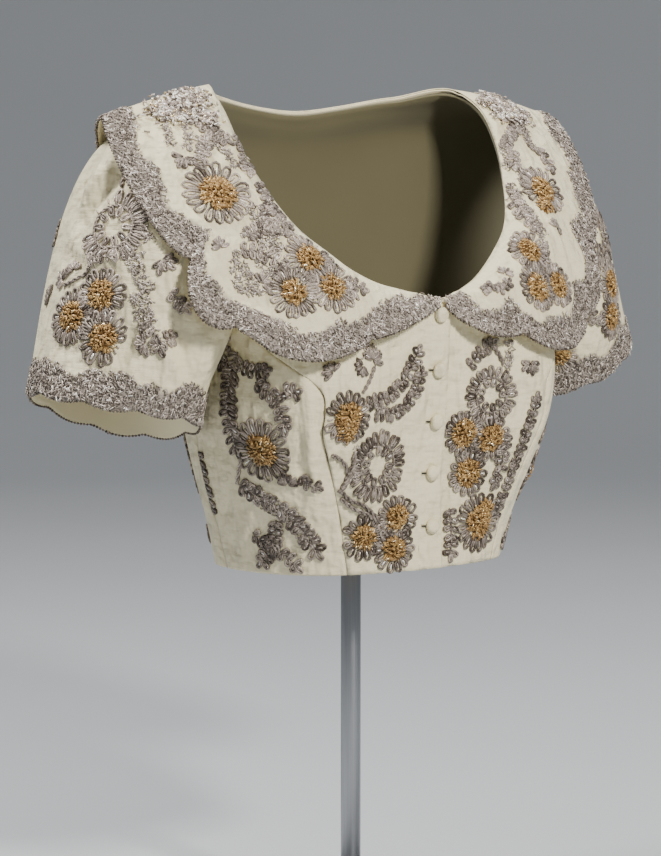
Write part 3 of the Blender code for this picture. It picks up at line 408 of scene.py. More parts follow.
# Each piece's beadwork: kind, sizes in millimetres, places. The sizes are a flower's middle and
# reach, a wreath's hole and reach, the length and width of a spray's leaves, a sprig's length
# and its turn in degrees, and the width of the others
MOTIFS = {
    "collar": (
        ("flower", (16.5, 31.0), (218, 194)),
        ("flower", (12.5, 24.0), (310, 258)),
        ("flower", (11.5, 24.0), (293, 292)),
        ("flower", (11.5, 24.0), (332, 287)),
        ("scroll", (8.0,), (238, 250), (234, 264), (236, 280), (246, 292), (258, 290)),
        ("spray", (9.0, 5.8), (240, 250), (262, 253), (284, 268)),
        ("spray", (9.0, 5.8), (246, 236), (266, 228), (286, 232)),
        ("spray", (9.5, 5.8), (257, 182), (266, 198), (276, 214), (288, 226)),
        ("spray", (9.0, 5.8), (262, 204), (268, 216), (270, 228)),
        ("spray", (9.5, 5.8), (202, 124), (216, 136), (230, 142)),
        ("spray", (9.5, 5.8), (234, 134), (242, 150), (248, 170)),
        ("scroll", (8.0,), (186, 124), (188, 136), (186, 150)),
        ("sprig", (10.0, 250), (184, 158)),
        ("scroll", (9.0,), (206, 116), (214, 128), (218, 140)),
        ("sprig", (8.5, 100), (220, 248)),
        ("scroll", (10.0,), (242, 232), (258, 240), (282, 250)),
        ("scroll", (9.0,), (262, 192), (273, 208), (286, 224)),
        ("scroll", (7.0,), (254, 262), (268, 270), (278, 280)),
        ("scroll", (13.0,), (178, 112), (194, 112), (210, 114)),
        ("spray", (8.5, 6.0), (196, 168), (204, 154), (206, 142)),
        ("spray", (8.0, 6.0), (246, 146), (256, 164), (262, 180)),
        ("wreath", (2.0, 10.0), (172, 112)),
        ("wreath", (2.0, 11.0), (196, 118)),
        ("sprig", (9.0, 90), (192, 92)),
        ("sprig", (8.0, 200), (352, 290)),
        ("scroll", (14.0,), (248, 206), (262, 222), (280, 238)),
        ("scroll", (9.0,), (240, 262), (250, 280), (264, 294)),
        ("scroll", (9.0,), (198, 136), (202, 148), (200, 160)),
        ("scroll", (9.0,), (216, 142), (228, 154), (236, 168)),
        ("scroll", (7.0,), (164, 120), (168, 134), (172, 146)),
        ("cluster", (15.0,), (158, 116), (176, 118), (200, 118), (216, 122)),
        ("cluster", (14.0,), (480, 104), (496, 106), (512, 110)),
        ("scroll", (8.0,), (508, 182), (516, 194), (522, 206)),
        ("scroll", (8.0,), (536, 228), (542, 240), (546, 254)),
        ("spray", (8.0, 5.6), (536, 148), (546, 160), (552, 174)),
        ("sprig", (8.5, 30), (262, 284)),
        ("spray", (7.5, 5.0), (346, 282), (356, 286), (366, 292)),
        ("cluster", (24.0,), (152, 114), (170, 106), (188, 102), (206, 102)),
        ("cluster", (13.0,), (176, 98), (190, 94), (202, 96)),
        ("spray", (9.0, 5.4), (176, 96), (186, 92), (198, 92)),
        ("cluster", (20.0,), (482, 112), (498, 114), (512, 116), (524, 120)),
        ("scroll", (10.0,), (470, 102), (490, 104), (512, 108), (530, 116)),
        ("scroll", (13.0,), (494, 150), (506, 144), (514, 158)),
        ("scroll", (9.0,), (502, 160), (512, 168), (520, 166)),
        ("spray", (8.0, 5.8), (496, 146), (506, 142), (512, 152), (514, 166)),
        ("scroll", (13.0,), (520, 170), (524, 178), (526, 188)),
        ("cord", (3.4,), (524, 132), (528, 146), (544, 158)),
        ("scroll", (9.0,), (524, 128), (528, 142), (540, 154)),
        ("flower", (13.0, 25.0), (542, 190)),
        ("mound", (9.0,), (545, 206)),
        ("spray", (9.5, 6.0), (506, 190), (516, 206), (528, 222), (540, 230)),
        ("scroll", (9.0,), (516, 192), (524, 208), (534, 222)),
        ("sprig", (8.0, 40), (556, 228)),
        ("scroll", (12.0,), (526, 208), (534, 222), (544, 236)),
        ("spray", (8.0, 5.2), (541, 244), (544, 258), (546, 270)),
        ("flower", (12.0, 22.0), (529, 250)),
        ("flower", (13.0, 22.0), (537, 288)),
        ("flower", (12.0, 21.0), (557, 285)),
        ("spray", (6.0, 4.6), (482, 292), (492, 286), (502, 290), (508, 282)),
        ("sprig", (7.0, 60), (505, 274)),
        ("spray", (8.5, 5.2), (0.3, 0.4), (0.335, 0.3), (0.37, 0.34)),
        ("flower", (13.0, 27.0), (0.4, 0.42)),
        ("spray", (8.5, 5.2), (0.425, 0.22), (0.448, 0.34), (0.465, 0.56)),
        ("flower", (12.5, 24.0), (0.5, 0.22)),
        ("flower", (11.5, 23.0), (0.482, 0.46)),
        ("flower", (11.5, 23.0), (0.519, 0.46)),
        ("spray", (8.5, 5.2), (0.575, 0.22), (0.552, 0.34), (0.535, 0.56)),
        ("flower", (13.0, 27.0), (0.602, 0.42)),
        ("spray", (8.5, 5.2), (0.7, 0.3), (0.665, 0.3), (0.63, 0.36)),
    ),
    "sleeve_right": (
        ("wreath", (8.5, 33.0), (113, 227)),
        ("cord", (4.6,), (122, 188), (125, 170), (130, 154)),
        ("cord", (4.6,), (133, 152), (140, 166), (150, 182)),
        ("sprig", (9.0, 150), (64, 280)),
        ("sprig", (9.0, 120), (74, 270)),
        ("cord", (3.4,), (64, 286), (76, 280), (90, 266)),
        ("flower", (12.5, 24.0), (101, 295)),
        ("flower", (12.5, 24.0), (72, 317)),
        ("flower", (12.5, 24.0), (103, 338)),
        ("scroll", (9.0,), (122, 244), (132, 252), (144, 258)),
        ("scroll", (12.0,), (126, 248), (134, 262), (142, 278), (150, 292)),
        ("scroll", (17.0,), (140, 292), (144, 310), (148, 330)),
        ("spray", (10.0, 6.0), (150, 318), (156, 336), (163, 354)),
        ("spray", (9.0, 5.6), (158, 346), (166, 340), (174, 336)),
        ("sprig", (10.0, 190), (146, 344)),
        ("scroll", (10.0,), (134, 214), (142, 228), (150, 240)),
        ("sprig", (11.0, 300), (163, 260)),
        ("spray", (9.0, 5.6), (170, 292), (178, 300), (186, 310)),
        ("spray", (8.0, 5.4), (88, 262), (98, 256), (112, 258)),
        ("sprig", (8.0, 160), (50, 296)),
        ("wreath", (7.5, 28.0), (0.36, 0.36)),
        ("flower", (12.5, 24.0), (0.55, 0.22)),
        ("flower", (12.5, 24.0), (0.66, 0.3)),
        ("spray", (8.5, 5.2), (0.24, 0.16), (0.42, 0.14), (0.6, 0.09)),
        ("flower", (11.5, 22.0), (0.58, 0.44)),
    ),
    "sleeve_left": (
        ("flower", (12.5, 23.0), (610, 284)),
        ("flower", (12.5, 22.0), (611, 316)),
        ("wreath", (8.5, 32.0), (0.4, 0.14)),
        ("spray", (8.5, 5.2), (0.22, 0.24), (0.4, 0.26), (0.62, 0.25)),
        ("flower", (12.5, 24.0), (0.6, 0.36)),
        ("sprig", (9.5, 190), (0.5, 0.42)),
        ("spray", (8.5, 5.2), (0.22, 0.96), (0.4, 0.95), (0.62, 0.98)),
        ("wreath", (8.0, 30.0), (0.4, 0.74)),
        ("flower", (12.5, 24.0), (0.6, 0.84)),
        ("flower", (12.5, 24.0), (0.67, 0.72)),
        ("spray", (8.5, 5.2), (0.22, 0.62), (0.42, 0.62), (0.64, 0.6)),
    ),
    "front_right": (
        ("flower", (13.0, 23.5), (348, 418)),
        ("spray", (8.5, 5.4), (366, 404), (388, 396), (407, 374), (419, 348)),
        ("spray", (7.5, 5.0), (374, 414), (397, 412), (414, 394), (421, 372)),
        ("sprig", (10.5, 60), (372, 360)),
        ("sprig", (8.5, 210), (362, 366)),
        ("scroll", (12.0,), (362, 350), (372, 352), (378, 360)),
        ("cord", (3.8,), (374, 366), (369, 380), (362, 393)),
        ("mound", (9.5,), (346, 432)),
        ("wreath", (9.4, 32.0), (377, 466)),
        ("cord", (4.6,), (331, 455), (342, 461), (347, 474), (340, 490)),
        ("cord", (4.6,), (354, 452), (352, 468), (348, 480), (338, 492)),
        ("scroll", (6.0,), (356, 446), (358, 462), (352, 480)),
        ("cord", (4.6,), (340, 490), (350, 500), (364, 506), (378, 520)),
        ("cord", (4.6,), (340, 498), (352, 508), (366, 514), (378, 522)),
        ("sprig", (9.0, 130), (333, 372)),
        ("flower", (11.5, 20.5), (363, 537)),
        ("flower", (11.5, 20.5), (396, 518)),
        ("flower", (11.5, 20.5), (393, 549)),
    ),
    "side_front_right": (
        ("flower", (14.5, 29.0), (262, 450)),
        ("spray", (12.0, 6.0), (238, 352), (230, 384), (229, 414), (238, 450)),
        ("scroll", (7.0,), (238, 356), (230, 384), (229, 414), (238, 450)),
        ("spray", (9.0, 5.6), (222, 336), (224, 350), (222, 362)),
        ("spray", (9.0, 5.6), (244, 366), (256, 372), (264, 370)),
        ("spray", (9.5, 6.0), (256, 382), (270, 394), (281, 408), (285, 428)),
        ("spray", (9.0, 5.6), (279, 398), (286, 390), (298, 394)),
        ("cord", (4.0,), (242, 458), (240, 470), (238, 484)),
        ("spray", (12.0, 6.4), (240, 484), (262, 498), (288, 514), (316, 550)),
        ("scroll", (17.0,), (246, 488), (266, 502), (290, 516), (314, 546)),
        ("spray", (9.5, 6.0), (253, 532), (264, 542), (276, 548), (288, 558), (296, 566)),
        ("spray", (9.0, 5.8), (276, 520), (276, 536), (272, 548), (262, 562)),
        ("sprig", (9.5, 80), (288, 484)),
        ("spray", (8.0, 5.4), (300, 476), (308, 484), (318, 486)),
        ("spray", (9.5, 5.8), (197, 452), (203, 480), (213, 512)),
    ),
    "side_front_left": (
        ("flower", (13.5, 28.0), (0.46, 0.46)),
        ("spray", (8.5, 5.2), (0.86, 0.62), (0.7, 0.72), (0.56, 0.76)),
        ("spray", (8.0, 5.2), (0.72, 0.4), (0.66, 0.26), (0.6, 0.16)),
        ("spray", (8.5, 5.2), (0.3, 0.66), (0.22, 0.46), (0.08, 0.22)),
        ("scroll", (13.0,), (0.28, 0.62), (0.2, 0.42), (0.09, 0.22)),
        ("spray", (8.5, 5.2), (0.06, 0.88), (0.2, 0.86), (0.36, 0.84)),
        ("sprig", (8.5, 30), (0.1, 0.58)),
    ),
    "front_left": (
        ("spray", (8.5, 5.6), (468, 366), (480, 352), (492, 343)),
        ("cord", (4.4,), (490, 344), (498, 354), (503, 364)),
        ("scroll", (9.0,), (508, 340), (510, 354), (506, 368)),
        ("sprig", (10.5, 260), (530, 362)),
        ("wreath", (7.5, 26.0), (491, 395)),
        ("spray", (8.5, 5.6), (506, 434), (504, 450), (500, 468), (494, 482)),
        ("spray", (9.0, 5.8), (449, 508), (451, 530), (450, 552)),
        ("flower", (12.5, 20.5), (463, 433)),
        ("flower", (12.5, 20.5), (490, 438)),
        ("flower", (12.5, 20.5), (467, 473)),
        ("flower", (15.0, 27.0), (478, 522)),
        ("mound", (10.0,), (484, 510)),
        ("spray", (8.0, 5.2), (0.1, 0.9), (0.22, 0.88), (0.34, 0.9)),
    ),
    "back": (
        ("spray", (8.5, 5.2), (0.49, 0.955), (0.4, 0.93), (0.28, 0.91), (0.16, 0.87)),
        ("flower", (13.0, 27.0), (0.27, 0.81)),
        ("spray", (8.5, 5.2), (0.08, 0.9), (0.05, 0.82), (0.09, 0.74)),
        ("wreath", (8.5, 30.0), (0.34, 0.66)),
        ("flower", (12.0, 22.0), (0.16, 0.63)),
        ("flower", (12.0, 22.0), (0.08, 0.59)),
        ("spray", (8.5, 5.2), (0.3, 0.56), (0.2, 0.54), (0.1, 0.52)),
        ("flower", (13.0, 27.0), (0.36, 0.5)),
        ("wreath", (8.5, 30.0), (0.34, 0.34)),
        ("flower", (12.0, 22.0), (0.16, 0.37)),
        ("flower", (12.0, 22.0), (0.08, 0.41)),
        ("spray", (8.5, 5.2), (0.3, 0.44), (0.2, 0.46), (0.1, 0.48)),
        ("flower", (13.0, 27.0), (0.27, 0.19)),
        ("spray", (8.5, 5.2), (0.08, 0.1), (0.05, 0.18), (0.09, 0.26)),
        ("spray", (8.5, 5.2), (0.49, 0.045), (0.4, 0.07), (0.28, 0.09), (0.16, 0.13)),
    ),
}


# Reading curves and grids
def smooth_between(keys, values, at, *own):
    """Rows of values read between their keys by a smooth curve; own picks each place's column."""
    at = np.clip(at, keys[0], keys[-1])
    slopes = np.gradient(values, keys, axis=0)
    i = np.clip(np.searchsorted(keys, at, side="right") - 1, 0, len(keys) - 2)
    width = (keys[i + 1] - keys[i])[:, None]
    u = (at - keys[i])[:, None] / width
    here, after = (i, *own), (i + 1, *own)
    found = values[here] * (1 + 2 * u) * (1 - u) ** 2 + slopes[here] * width * u * (1 - u) ** 2
    return found + (values[after] * u**2 * (3 - 2 * u) + slopes[after] * width * u**2 * (u - 1))


def spline(keys, values, at):
    """A smooth curve through rows of values, read at one or more places."""
    keys = np.asarray(keys, float)
    values = np.asarray(values, float).reshape(len(keys), -1)
    return smooth_between(keys, values, np.atleast_1d(np.asarray(at, float)))


def smooth_step(x):
    x = np.clip(x, 0.0, 1.0)
    return x * x * (3 - 2 * x)


def unit(vectors):
    return vectors / np.maximum(np.linalg.norm(vectors, axis=-1, keepdims=True), 1e-12)


def square_to(vectors, along):
    """Vectors without their part along unit directions."""
    return vectors - (vectors * along).sum(axis=-1, keepdims=True) * along


def toward(turn, right, up):
    """Directions by their angle from right towards up."""
    return np.cos(turn)[:, None] * right + np.sin(turn)[:, None] * up


def measured(path):
    """The length along a path up to each of its points."""
    return np.concatenate([[0], np.cumsum(np.linalg.norm(np.diff(path, axis=0), axis=-1))])


def along_path(path, at):
    """Points of a path at lengths along it."""
    along = measured(path)
    return np.stack([np.interp(at, along, path[:, i]) for i in range(3)], axis=1)


def curve_through(points, count):
    points = np.array(points)
    if len(points) == 2:
        return points[0] + (points[1] - points[0]) * np.linspace(0, 1, count)[:, None]
    keys = np.arange(len(points), dtype=float)
    return spline(keys, points, np.linspace(0, len(points) - 1, count))


def refine(grid, down, across):
    """The same grid with this many steps for each of its own."""
    for axis, times in ((0, down), (1, across)):
        grid = np.moveaxis(grid, axis, 0)
        keys = np.arange(len(grid), dtype=float)
        at = np.linspace(0, len(grid) - 1, (len(grid) - 1) * times + 1)
        fine = spline(keys, grid, at).reshape(len(at), *grid.shape[1:])
        grid = np.moveaxis(fine, 0, axis)
    return grid


def outward(points, closed):
    """Unit normals of a grid, whose columns may close round."""
    if closed:
        points = np.concatenate([points[:, -2:-1], points, points[:, 1:2]], axis=1)
    normals = unit(np.cross(np.gradient(points, axis=1), np.gradient(points, axis=0)))
    return normals[:, 1:-1] if closed else normals


def on_grid(points, normals, rows, columns):
    """Points and normals of a grid between its own, by row and column."""
    found = []
    row = np.clip(rows.astype(int), 0, points.shape[0] - 2)
    column = np.clip(columns.astype(int), 0, points.shape[1] - 2)
    u, v = (rows - row)[:, None], (columns - column)[:, None]
    for grid in (points, normals):
        low = grid[row, column] * (1 - v) + grid[row, column + 1] * v
        high = grid[row + 1, column] * (1 - v) + grid[row + 1, column + 1] * v
        found.append(low * (1 - u) + high * u)
    return found[0], unit(found[1])


def search_tree(grids, closed):
    """A search tree over grids of outward-facing points, whose columns may close round."""
    points, faces = [], []
    for grid in grids:
        index = np.arange(grid[..., 0].size).reshape(grid.shape[:2]) + len(points)
        if closed:
            index = np.concatenate([index, index[:, :1]], axis=1)
        corners = [index[:-1, :-1], index[:-1, 1:], index[1:, 1:], index[1:, :-1]]
        points += grid.reshape(-1, 3).tolist()
        faces += np.stack(corners, axis=-1).reshape(-1, 4).tolist()
    return BVHTree.FromPolygons(points, faces)


# The body
def oval_reach(angle, half_width, depth, squareness):
    """How far a squared oval reaches from the axis at an angle from the front or back."""
    across = np.abs(np.sin(angle)) / half_width
    along = np.abs(np.cos(angle)) / depth
    return (across**squareness + along**squareness) ** (-1 / squareness)


def neck_reach_height(degrees):
    table = np.array(NECK)
    before, after = table[1] * [-1, 1, 1], table[-2] * [-1, 1, 1] + [360, 0, 0]
    table = np.vstack([before, table, after])
    return spline(table[:, 0], table[:, 1:], np.abs(degrees)).T


def ring_height(degrees, level, front, side, back):
    """Rings rise from the front to the side like a tilted oval, and like the neckline above."""
    turned = np.abs(degrees)
    low = np.sin(np.radians(np.minimum(turned, NECK_SIDE) / NECK_SIDE * 90)) ** 2
    neck = {angle: height for angle, _, height in NECK}
    neck_front, neck_side = neck[0], neck[NECK_SIDE]
    high = (neck_reach_height(turned)[1] - neck_front) / (neck_side - neck_front)
    like_neck = smooth_step(level / LIKE_NECK)
    rise = low + (np.clip(high, 0, 1) - low) * like_neck
    behind = (np.clip(turned, NECK_SIDE, 180) - NECK_SIDE) / (180 - NECK_SIDE) * 90
    backward = back + (side - back) * np.cos(np.radians(behind)) ** 2
    return np.where(turned < NECK_SIDE, front + (side - front) * rise, backward)


def ring_tables(degrees):
    """Each ring's level, and its reach and height at each angle."""
    angle = np.radians(np.abs(degrees))
    reaches, heights, keys = [], [], []
    for key, half, front, back, square, square_back, z_front, z_side, z_back, bust in RINGS:
        ahead = oval_reach(angle, half, front, square)
        ahead = ahead + bust * np.exp(-(((np.abs(degrees) - BUST_ANGLE) / BUST_WIDTH) ** 2))
        behind = oval_reach(angle, half, back, square_back)
        reaches.append(np.where(np.abs(degrees) < 90, ahead, behind))
        heights.append(ring_height(degrees, key, z_front, z_side, z_back))
        keys.append(key)
    neck_reach, neck_height = neck_reach_height(degrees)
    both = [np.array(reaches + [neck_reach]), np.array(heights + [neck_height])]
    return np.array(keys + [1.0]), np.stack(both, axis=-1)


def body(degrees, level):
    """Points of the cloth's outer surface: degrees from the front, level 0 hem to 1 neck."""
    both = (np.atleast_1d(np.asarray(one, float)) for one in (degrees, level))
    degrees, level = np.broadcast_arrays(*both)
    reach, height = smooth_between(*ring_tables(degrees), level, np.arange(len(degrees))).T
    turn = np.radians(degrees)
    return np.stack([reach * np.sin(turn), -reach * np.cos(turn), height + HEM_HEIGHT], axis=1)


def body_normal(degrees, level):
    around = body(degrees + 0.5, level) - body(degrees - 0.5, level)
    up = body(degrees, np.minimum(level + 0.006, 1)) - body(degrees, np.maximum(level - 0.006, 0))
    return unit(np.cross(around, up))


def over(surface, degrees, levels):
    """A surface's points or normals on a grid of angles and levels."""
    return surface(degrees.ravel(), levels.ravel()).reshape(*degrees.shape, 3)


def body_skin():
    """The whole body's outer surface as one grid, for laying things on it."""
    return over(body, *np.meshgrid(np.arange(-180, 180, 4.0), np.linspace(0, 1, 41)))


def angle_at_x(x, level):
    """The angle near the front where the body's surface passes a distance from the middle."""
    return math.degrees(math.asin(x / np.linalg.norm(body(0.0, level)[0, :2])))


def level_at_height(height):
    """The level at which the front's middle line reaches a height above the hem."""
    levels = np.linspace(0, 1, 201)
    return float(np.interp(height, body(0.0, levels)[:, 2] - HEM_HEIGHT, levels))


def armhole(step):
    """(angle, level) on the armhole of the wearer's left, from its top towards the front."""
    turn = 2 * math.pi * step / ARMHOLE_STEPS
    forward = math.sin(turn)
    spread = ARMHOLE_FRONT if forward > 0 else ARMHOLE_BACK
    return ARMHOLE_ANGLE - spread * forward, ARMHOLE_LEVEL + ARMHOLE_RISE * math.cos(turn)


def princess(level):
    table = np.array(PRINCESS)
    table[-1] = armhole(PRINCESS_STEP)[::-1]
    return float(spline(table[:, 0], table[:, 1], level)[0, 0])


def outer_edge(top, seam, steps):
    """(angle, level) up a panel's outer edge: its seam, the armhole, then the shoulder seam."""
    low = [top * row / LOW_ROWS for row in range(LOW_ROWS)]
    edge = [(seam(level), level) for level in low] + [armhole(step) for step in steps]
    shoulder = ARMHOLE_LEVEL + ARMHOLE_RISE
    for row in range(1, SHOULDER_ROWS + 1):
        level = shoulder + (1 - shoulder) * row / SHOULDER_ROWS
        lean = SHOULDER_LEAN * (level - shoulder) / (1 - shoulder)
        edge.append((ARMHOLE_ANGLE + lean, level))
    return edge


def even_angles(start, end, level, count):
    """Angles that part one ring's stretch into equal lengths."""
    fine = np.linspace(start, end, 60)
    along = measured(body(fine, level))
    return np.interp(np.linspace(0, along[-1], count), along, fine)


def panel_rows(edge, ends, columns):
    """A panel's grid of angles and levels, by a function that gives the ends of each row."""
    degrees = np.array([even_angles(*ends(outer, level), level, columns) for outer, level in edge])
    levels = np.array([level for _, level in edge])
    return degrees, np.repeat(levels[:, None], columns, axis=1)


def front_grid(edge_x):
    """A front on the wearer's left, from an edge near the middle outwards."""
    edge = outer_edge(armhole(PRINCESS_STEP)[1], princess, range(PRINCESS_STEP, -1, -1))
    return panel_rows(edge, lambda outer, level: (angle_at_x(edge_x, level), outer), 11)


def back_grid():
    """The back, from the left side round to the right one."""
    steps = range(ARMHOLE_STEPS // 2, ARMHOLE_STEPS + 1)
    edge = outer_edge(ARMHOLE_LEVEL - ARMHOLE_RISE, lambda _: SIDE_SEAM, steps)
    return panel_rows(edge, lambda outer, level: (outer, 360 - outer), 15)


def side_front_grid():
    """A side front on the wearer's left, from the princess seam to the side seam."""
    edge = [armhole(step) for step in range(PRINCESS_STEP, ARMHOLE_STEPS // 2 + 1)]
    rows = range(LOW_ROWS + 1)
    levels = np.array([[top * row / LOW_ROWS for _, top in edge] for row in rows])
    seams = np.array([[princess(level) for level in row] for row in levels])
    share = (np.arange(len(edge)) / (len(edge) - 1)) ** SIDE_FRONT_CROWDING
    straight = seams + (SIDE_SEAM - seams) * share
    upper = smooth_step((np.array(rows) / LOW_ROWS - 0.5) / 0.5)[:, None]
    return straight + (np.array(edge)[:, 0] - straight[-1]) * upper, levels


def overlap_lift(x):
    """How far the right front stands out over the left one, by distance from the middle."""
    return (CLOTH + OVERLAP_GAP) * smooth_step((LAP_REACH - x) / LAP_SLOPE)


def form_points(columns, rows):
    """The display form's outer surface, inside the jacket, as a grid that closes round."""
    levels = np.linspace(*FORM_LEVELS, rows)
    half = np.array([even_angles(0, 180, level, columns // 2 + 1) for level in levels])
    degrees = np.concatenate([half, half[:, ::-1][:, 1:] * -1], axis=1)
    degrees[:, -1] = 0
    grid = np.repeat(levels[:, None], degrees.shape[1], axis=1)
    angle, spread, level, reach, rise = SHOULDER_SEAT
    near = ((np.abs(degrees) - angle) / spread) ** 2 + ((grid - level) / reach) ** 2
    gap = LINING_GAP - rise * np.exp(-near)
    share, level, reach = NECK_CLOSING
    gap = gap * (1 - share * smooth_step((grid - level) / reach))
    return over(body, degrees, grid) - over(body_normal, degrees, grid) * (CLOTH + gap)[..., None]


# Sleeves
def cuff_points(turn, side):
    """Points of the cuff's edge, by the angle round the arm from its outside forwards."""
    height, rise_out, fall_back, sag, even_turn = CUFFS[side]
    across = np.cos(turn) * CUFF_RADIUS_ACROSS
    along = -np.sin(turn) * CUFF_RADIUS_ALONG
    tilt = rise_out * across - fall_back * along
    drop = sag * np.sin(turn - math.radians(even_turn)) ** 2
    scallop = CUFF_SCALLOP_DEPTH * np.abs(np.sin(turn * CUFF_SCALLOPS / 2))
    x, y = CUFF_CENTRE
    return np.stack([x + across, y + along, HEM_HEIGHT + height + tilt - drop - scallop], axis=-1)


def arm_turn(steps):
    """The angle round the arm, from its top forwards, at steps of the armhole."""
    return 2 * np.pi * steps / ARMHOLE_STEPS


def sleeve_folds(steps, places):
    """Heights of the sleeve's folds: a row for each place down the arm."""
    turn, down = np.degrees(arm_turn(steps))[None, :], places[:, None]
    depth = np.zeros((len(places), len(steps)))
    for angle, width, place, reach, height in SLEEVE_FOLDS:
        around = ((turn - angle + 180) % 360 - 180) / width
        depth = depth + height * np.exp(-(around**2) - ((down - place) / reach) ** 2)
    return depth


def sleeve_surface(steps, places, side):
    """A left sleeve's outer surface: a row for each place from the armhole to the cuff."""
    start = body(*np.array([armhole(step) for step in steps]).T)
    start = start + unit(start.mean(axis=0) - start) * SEAM_GAP
    turn = arm_turn(steps)
    end = cuff_points(turn, side)
    table = np.array(SLEEVE_PULLS)
    pulls = spline(table[:, 0], table[:, 1:], np.degrees(turn) % 360)
    first, second = start + pulls[:, :3], end + pulls[:, 3:]
    u = places[:, None, None]
    near = start * (1 - u) ** 3 + 3 * first * u * (1 - u) ** 2
    return near + 3 * second * u**2 * (1 - u) + end * u**3


def cad_sleeve(side):
    """The solid sleeve's outer points, which the collar clears."""
    steps, places = np.arange(ARMHOLE_STEPS), np.array(SLEEVE_PLACES)
    points, folds = sleeve_surface(steps, places, side), sleeve_folds(steps, places)
    folds[[0, 1, -1]] = 0
    around = np.roll(points, -1, axis=1) - np.roll(points, 1, axis=1)
    normals = unit(np.cross(around, np.gradient(points, axis=0)))
    points = points + normals * (folds + BAND_RAISE * (places > 0.8)[:, None])[..., None]
    return points * ([-1, 1, 1] if side == "right" else [1, 1, 1])


def sleeve_skin(piece):
    side = piece.split("_")[1]
    steps, places = np.linspace(0, ARMHOLE_STEPS, 4 * ARMHOLE_STEPS + 1), np.linspace(0, 1, 57)
    points, folds = sleeve_surface(steps, places, side), sleeve_folds(steps, places)
    folds = folds * (smooth_step(places / 0.12) * smooth_step((1 - places) / 0.2))[:, None]
    points = points + outward(points, True) * folds[..., None]
    return points[:, ::-1] * [-1, 1, 1] if side == "right" else points


# The collar
def collar_stations():
    """The notches of both halves, from the left end round the back to the right end."""
    left = np.array(COLLAR_NOTCHES)
    right = left[::-1].copy()
    right[:, 0] = 360 - right[:, 0]
    right[:, 1] = -right[:, 1]
    right[:, 4:6] = np.roll(left[::-1, 4:6], -1, axis=0)
    right[-2, 4] = COLLAR_RIGHT_FRONT_SCALLOP
    left[2:4, 1] -= COLLAR_LEFT_TUCK
    left[2, 4] = COLLAR_LEFT_SCALLOP
    return np.concatenate([left, right])


def collar_ends(per_scallop):
    """The collar's neck and outer points, and its upward directions, round the neck."""
    notches = collar_stations()
    count = len(notches)
    keys = np.arange(count, dtype=float)
    at = np.linspace(0, count - 1, (count - 1) * per_scallop + 1)
    smooth = spline(keys, notches, at)
    chord = np.stack([np.interp(at, keys, notches[:, i]) for i in (1, 2, 3)], axis=1)
    base = chord + (smooth[:, 1:4] - chord) * COLLAR_ROUNDING + np.array([0, 0, HEM_HEIGHT])
    scallop = np.minimum(at.astype(int), count - 2)
    part = at - scallop
    part = np.where(scallop < count // 2, part, 1 - part)
    arch = np.sin(np.pi * part ** notches[scallop, 5]) ** SCALLOP_FULLNESS
    degrees = np.where(smooth[:, 0] > 180, smooth[:, 0] - 360, smooth[:, 0])
    neck = body(degrees, 1.0)
    seat = COLLAR_SEAT + overlap_lift(np.abs(neck[:, 0])) * (neck[:, 1] < 0)
    neck = neck + body_normal(degrees, 0.994) * seat[:, None]
    along = unit(np.gradient(base, axis=0))
    out = unit(square_to(base - neck, along))
    edge = base + out * (notches[scallop, 4] * arch)[:, None]
    up = np.cross(out, along)
    level_out = unit((neck + edge) * np.array([1, 1, 0])) * 0.7 + np.array([0, 0, 0.7])
    return neck, edge, unit(up * np.sign((up * level_out).sum(axis=1, keepdims=True)))


def band_share(share, band):
    """Shares up to 1 lie between the neck and the band, those from 1 to 2 across the band."""
    return share * (1 - band) if share <= 1 else 1 - band * (2 - share)


def collar_base(per_scallop, shares):
    """The collar's points before it is laid over the shoulders, and its upward directions."""
    neck, edge, up = collar_ends(per_scallop)
    length = np.linalg.norm(edge - neck, axis=1)
    band = np.minimum(BAND_DEPTH / length, BAND_MOST)
    share = np.array([[band_share(s, b) for s in shares] for b in band])[..., None]
    points = neck[:, None] * (1 - share) + edge[:, None] * share
    bow = np.minimum(COLLAR_BOW, length * 0.08)[:, None, None]
    return points + up[:, None] * bow * 4 * share * (1 - share), up


def rise_needed(tree, point, up, centre):
    """How far a point must rise along its direction to lie clear of the skins."""
    for step in RISE_STEPS:
        place = Vector(point + up * step * RISE_STEP)
        near, normal, _, distance = tree.find_nearest(place)
        out = normal if normal.dot(near - centre) > 0 else -normal
        if (place - near).dot(out) >= 0 and distance >= COLLAR_CLEARANCE:
            return max(step, DEEPEST_STEP) * RISE_STEP
    return 0.0


def collar_rise(per_scallop, shares):
    """How far the collar rises to lie over the body and the sleeves' heads."""
    points, up = collar_base(per_scallop, shares)
    tree = search_tree([body_skin()] + [cad_sleeve(side) for side in CUFFS], True)
    centre = Vector((0, 0, HEM_HEIGHT + 0.2))
    needed = np.zeros(points.shape[:2])
    for row, column in np.ndindex(needed.shape):
        if column > 0:
            needed[row, column] = rise_needed(tree, points[row, column], up[row], centre)
    rise = np.maximum(needed, 0)
    for _ in range(30):
        spread = np.pad(rise, 1, mode="edge")
        mean = (spread[2:, 1:-1] + spread[:-2, 1:-1] + spread[1:-1, 2:] + spread[1:-1, :-2]) / 4
        rise = np.maximum(needed, mean)
        rise[:, 0] = 0
    return rise


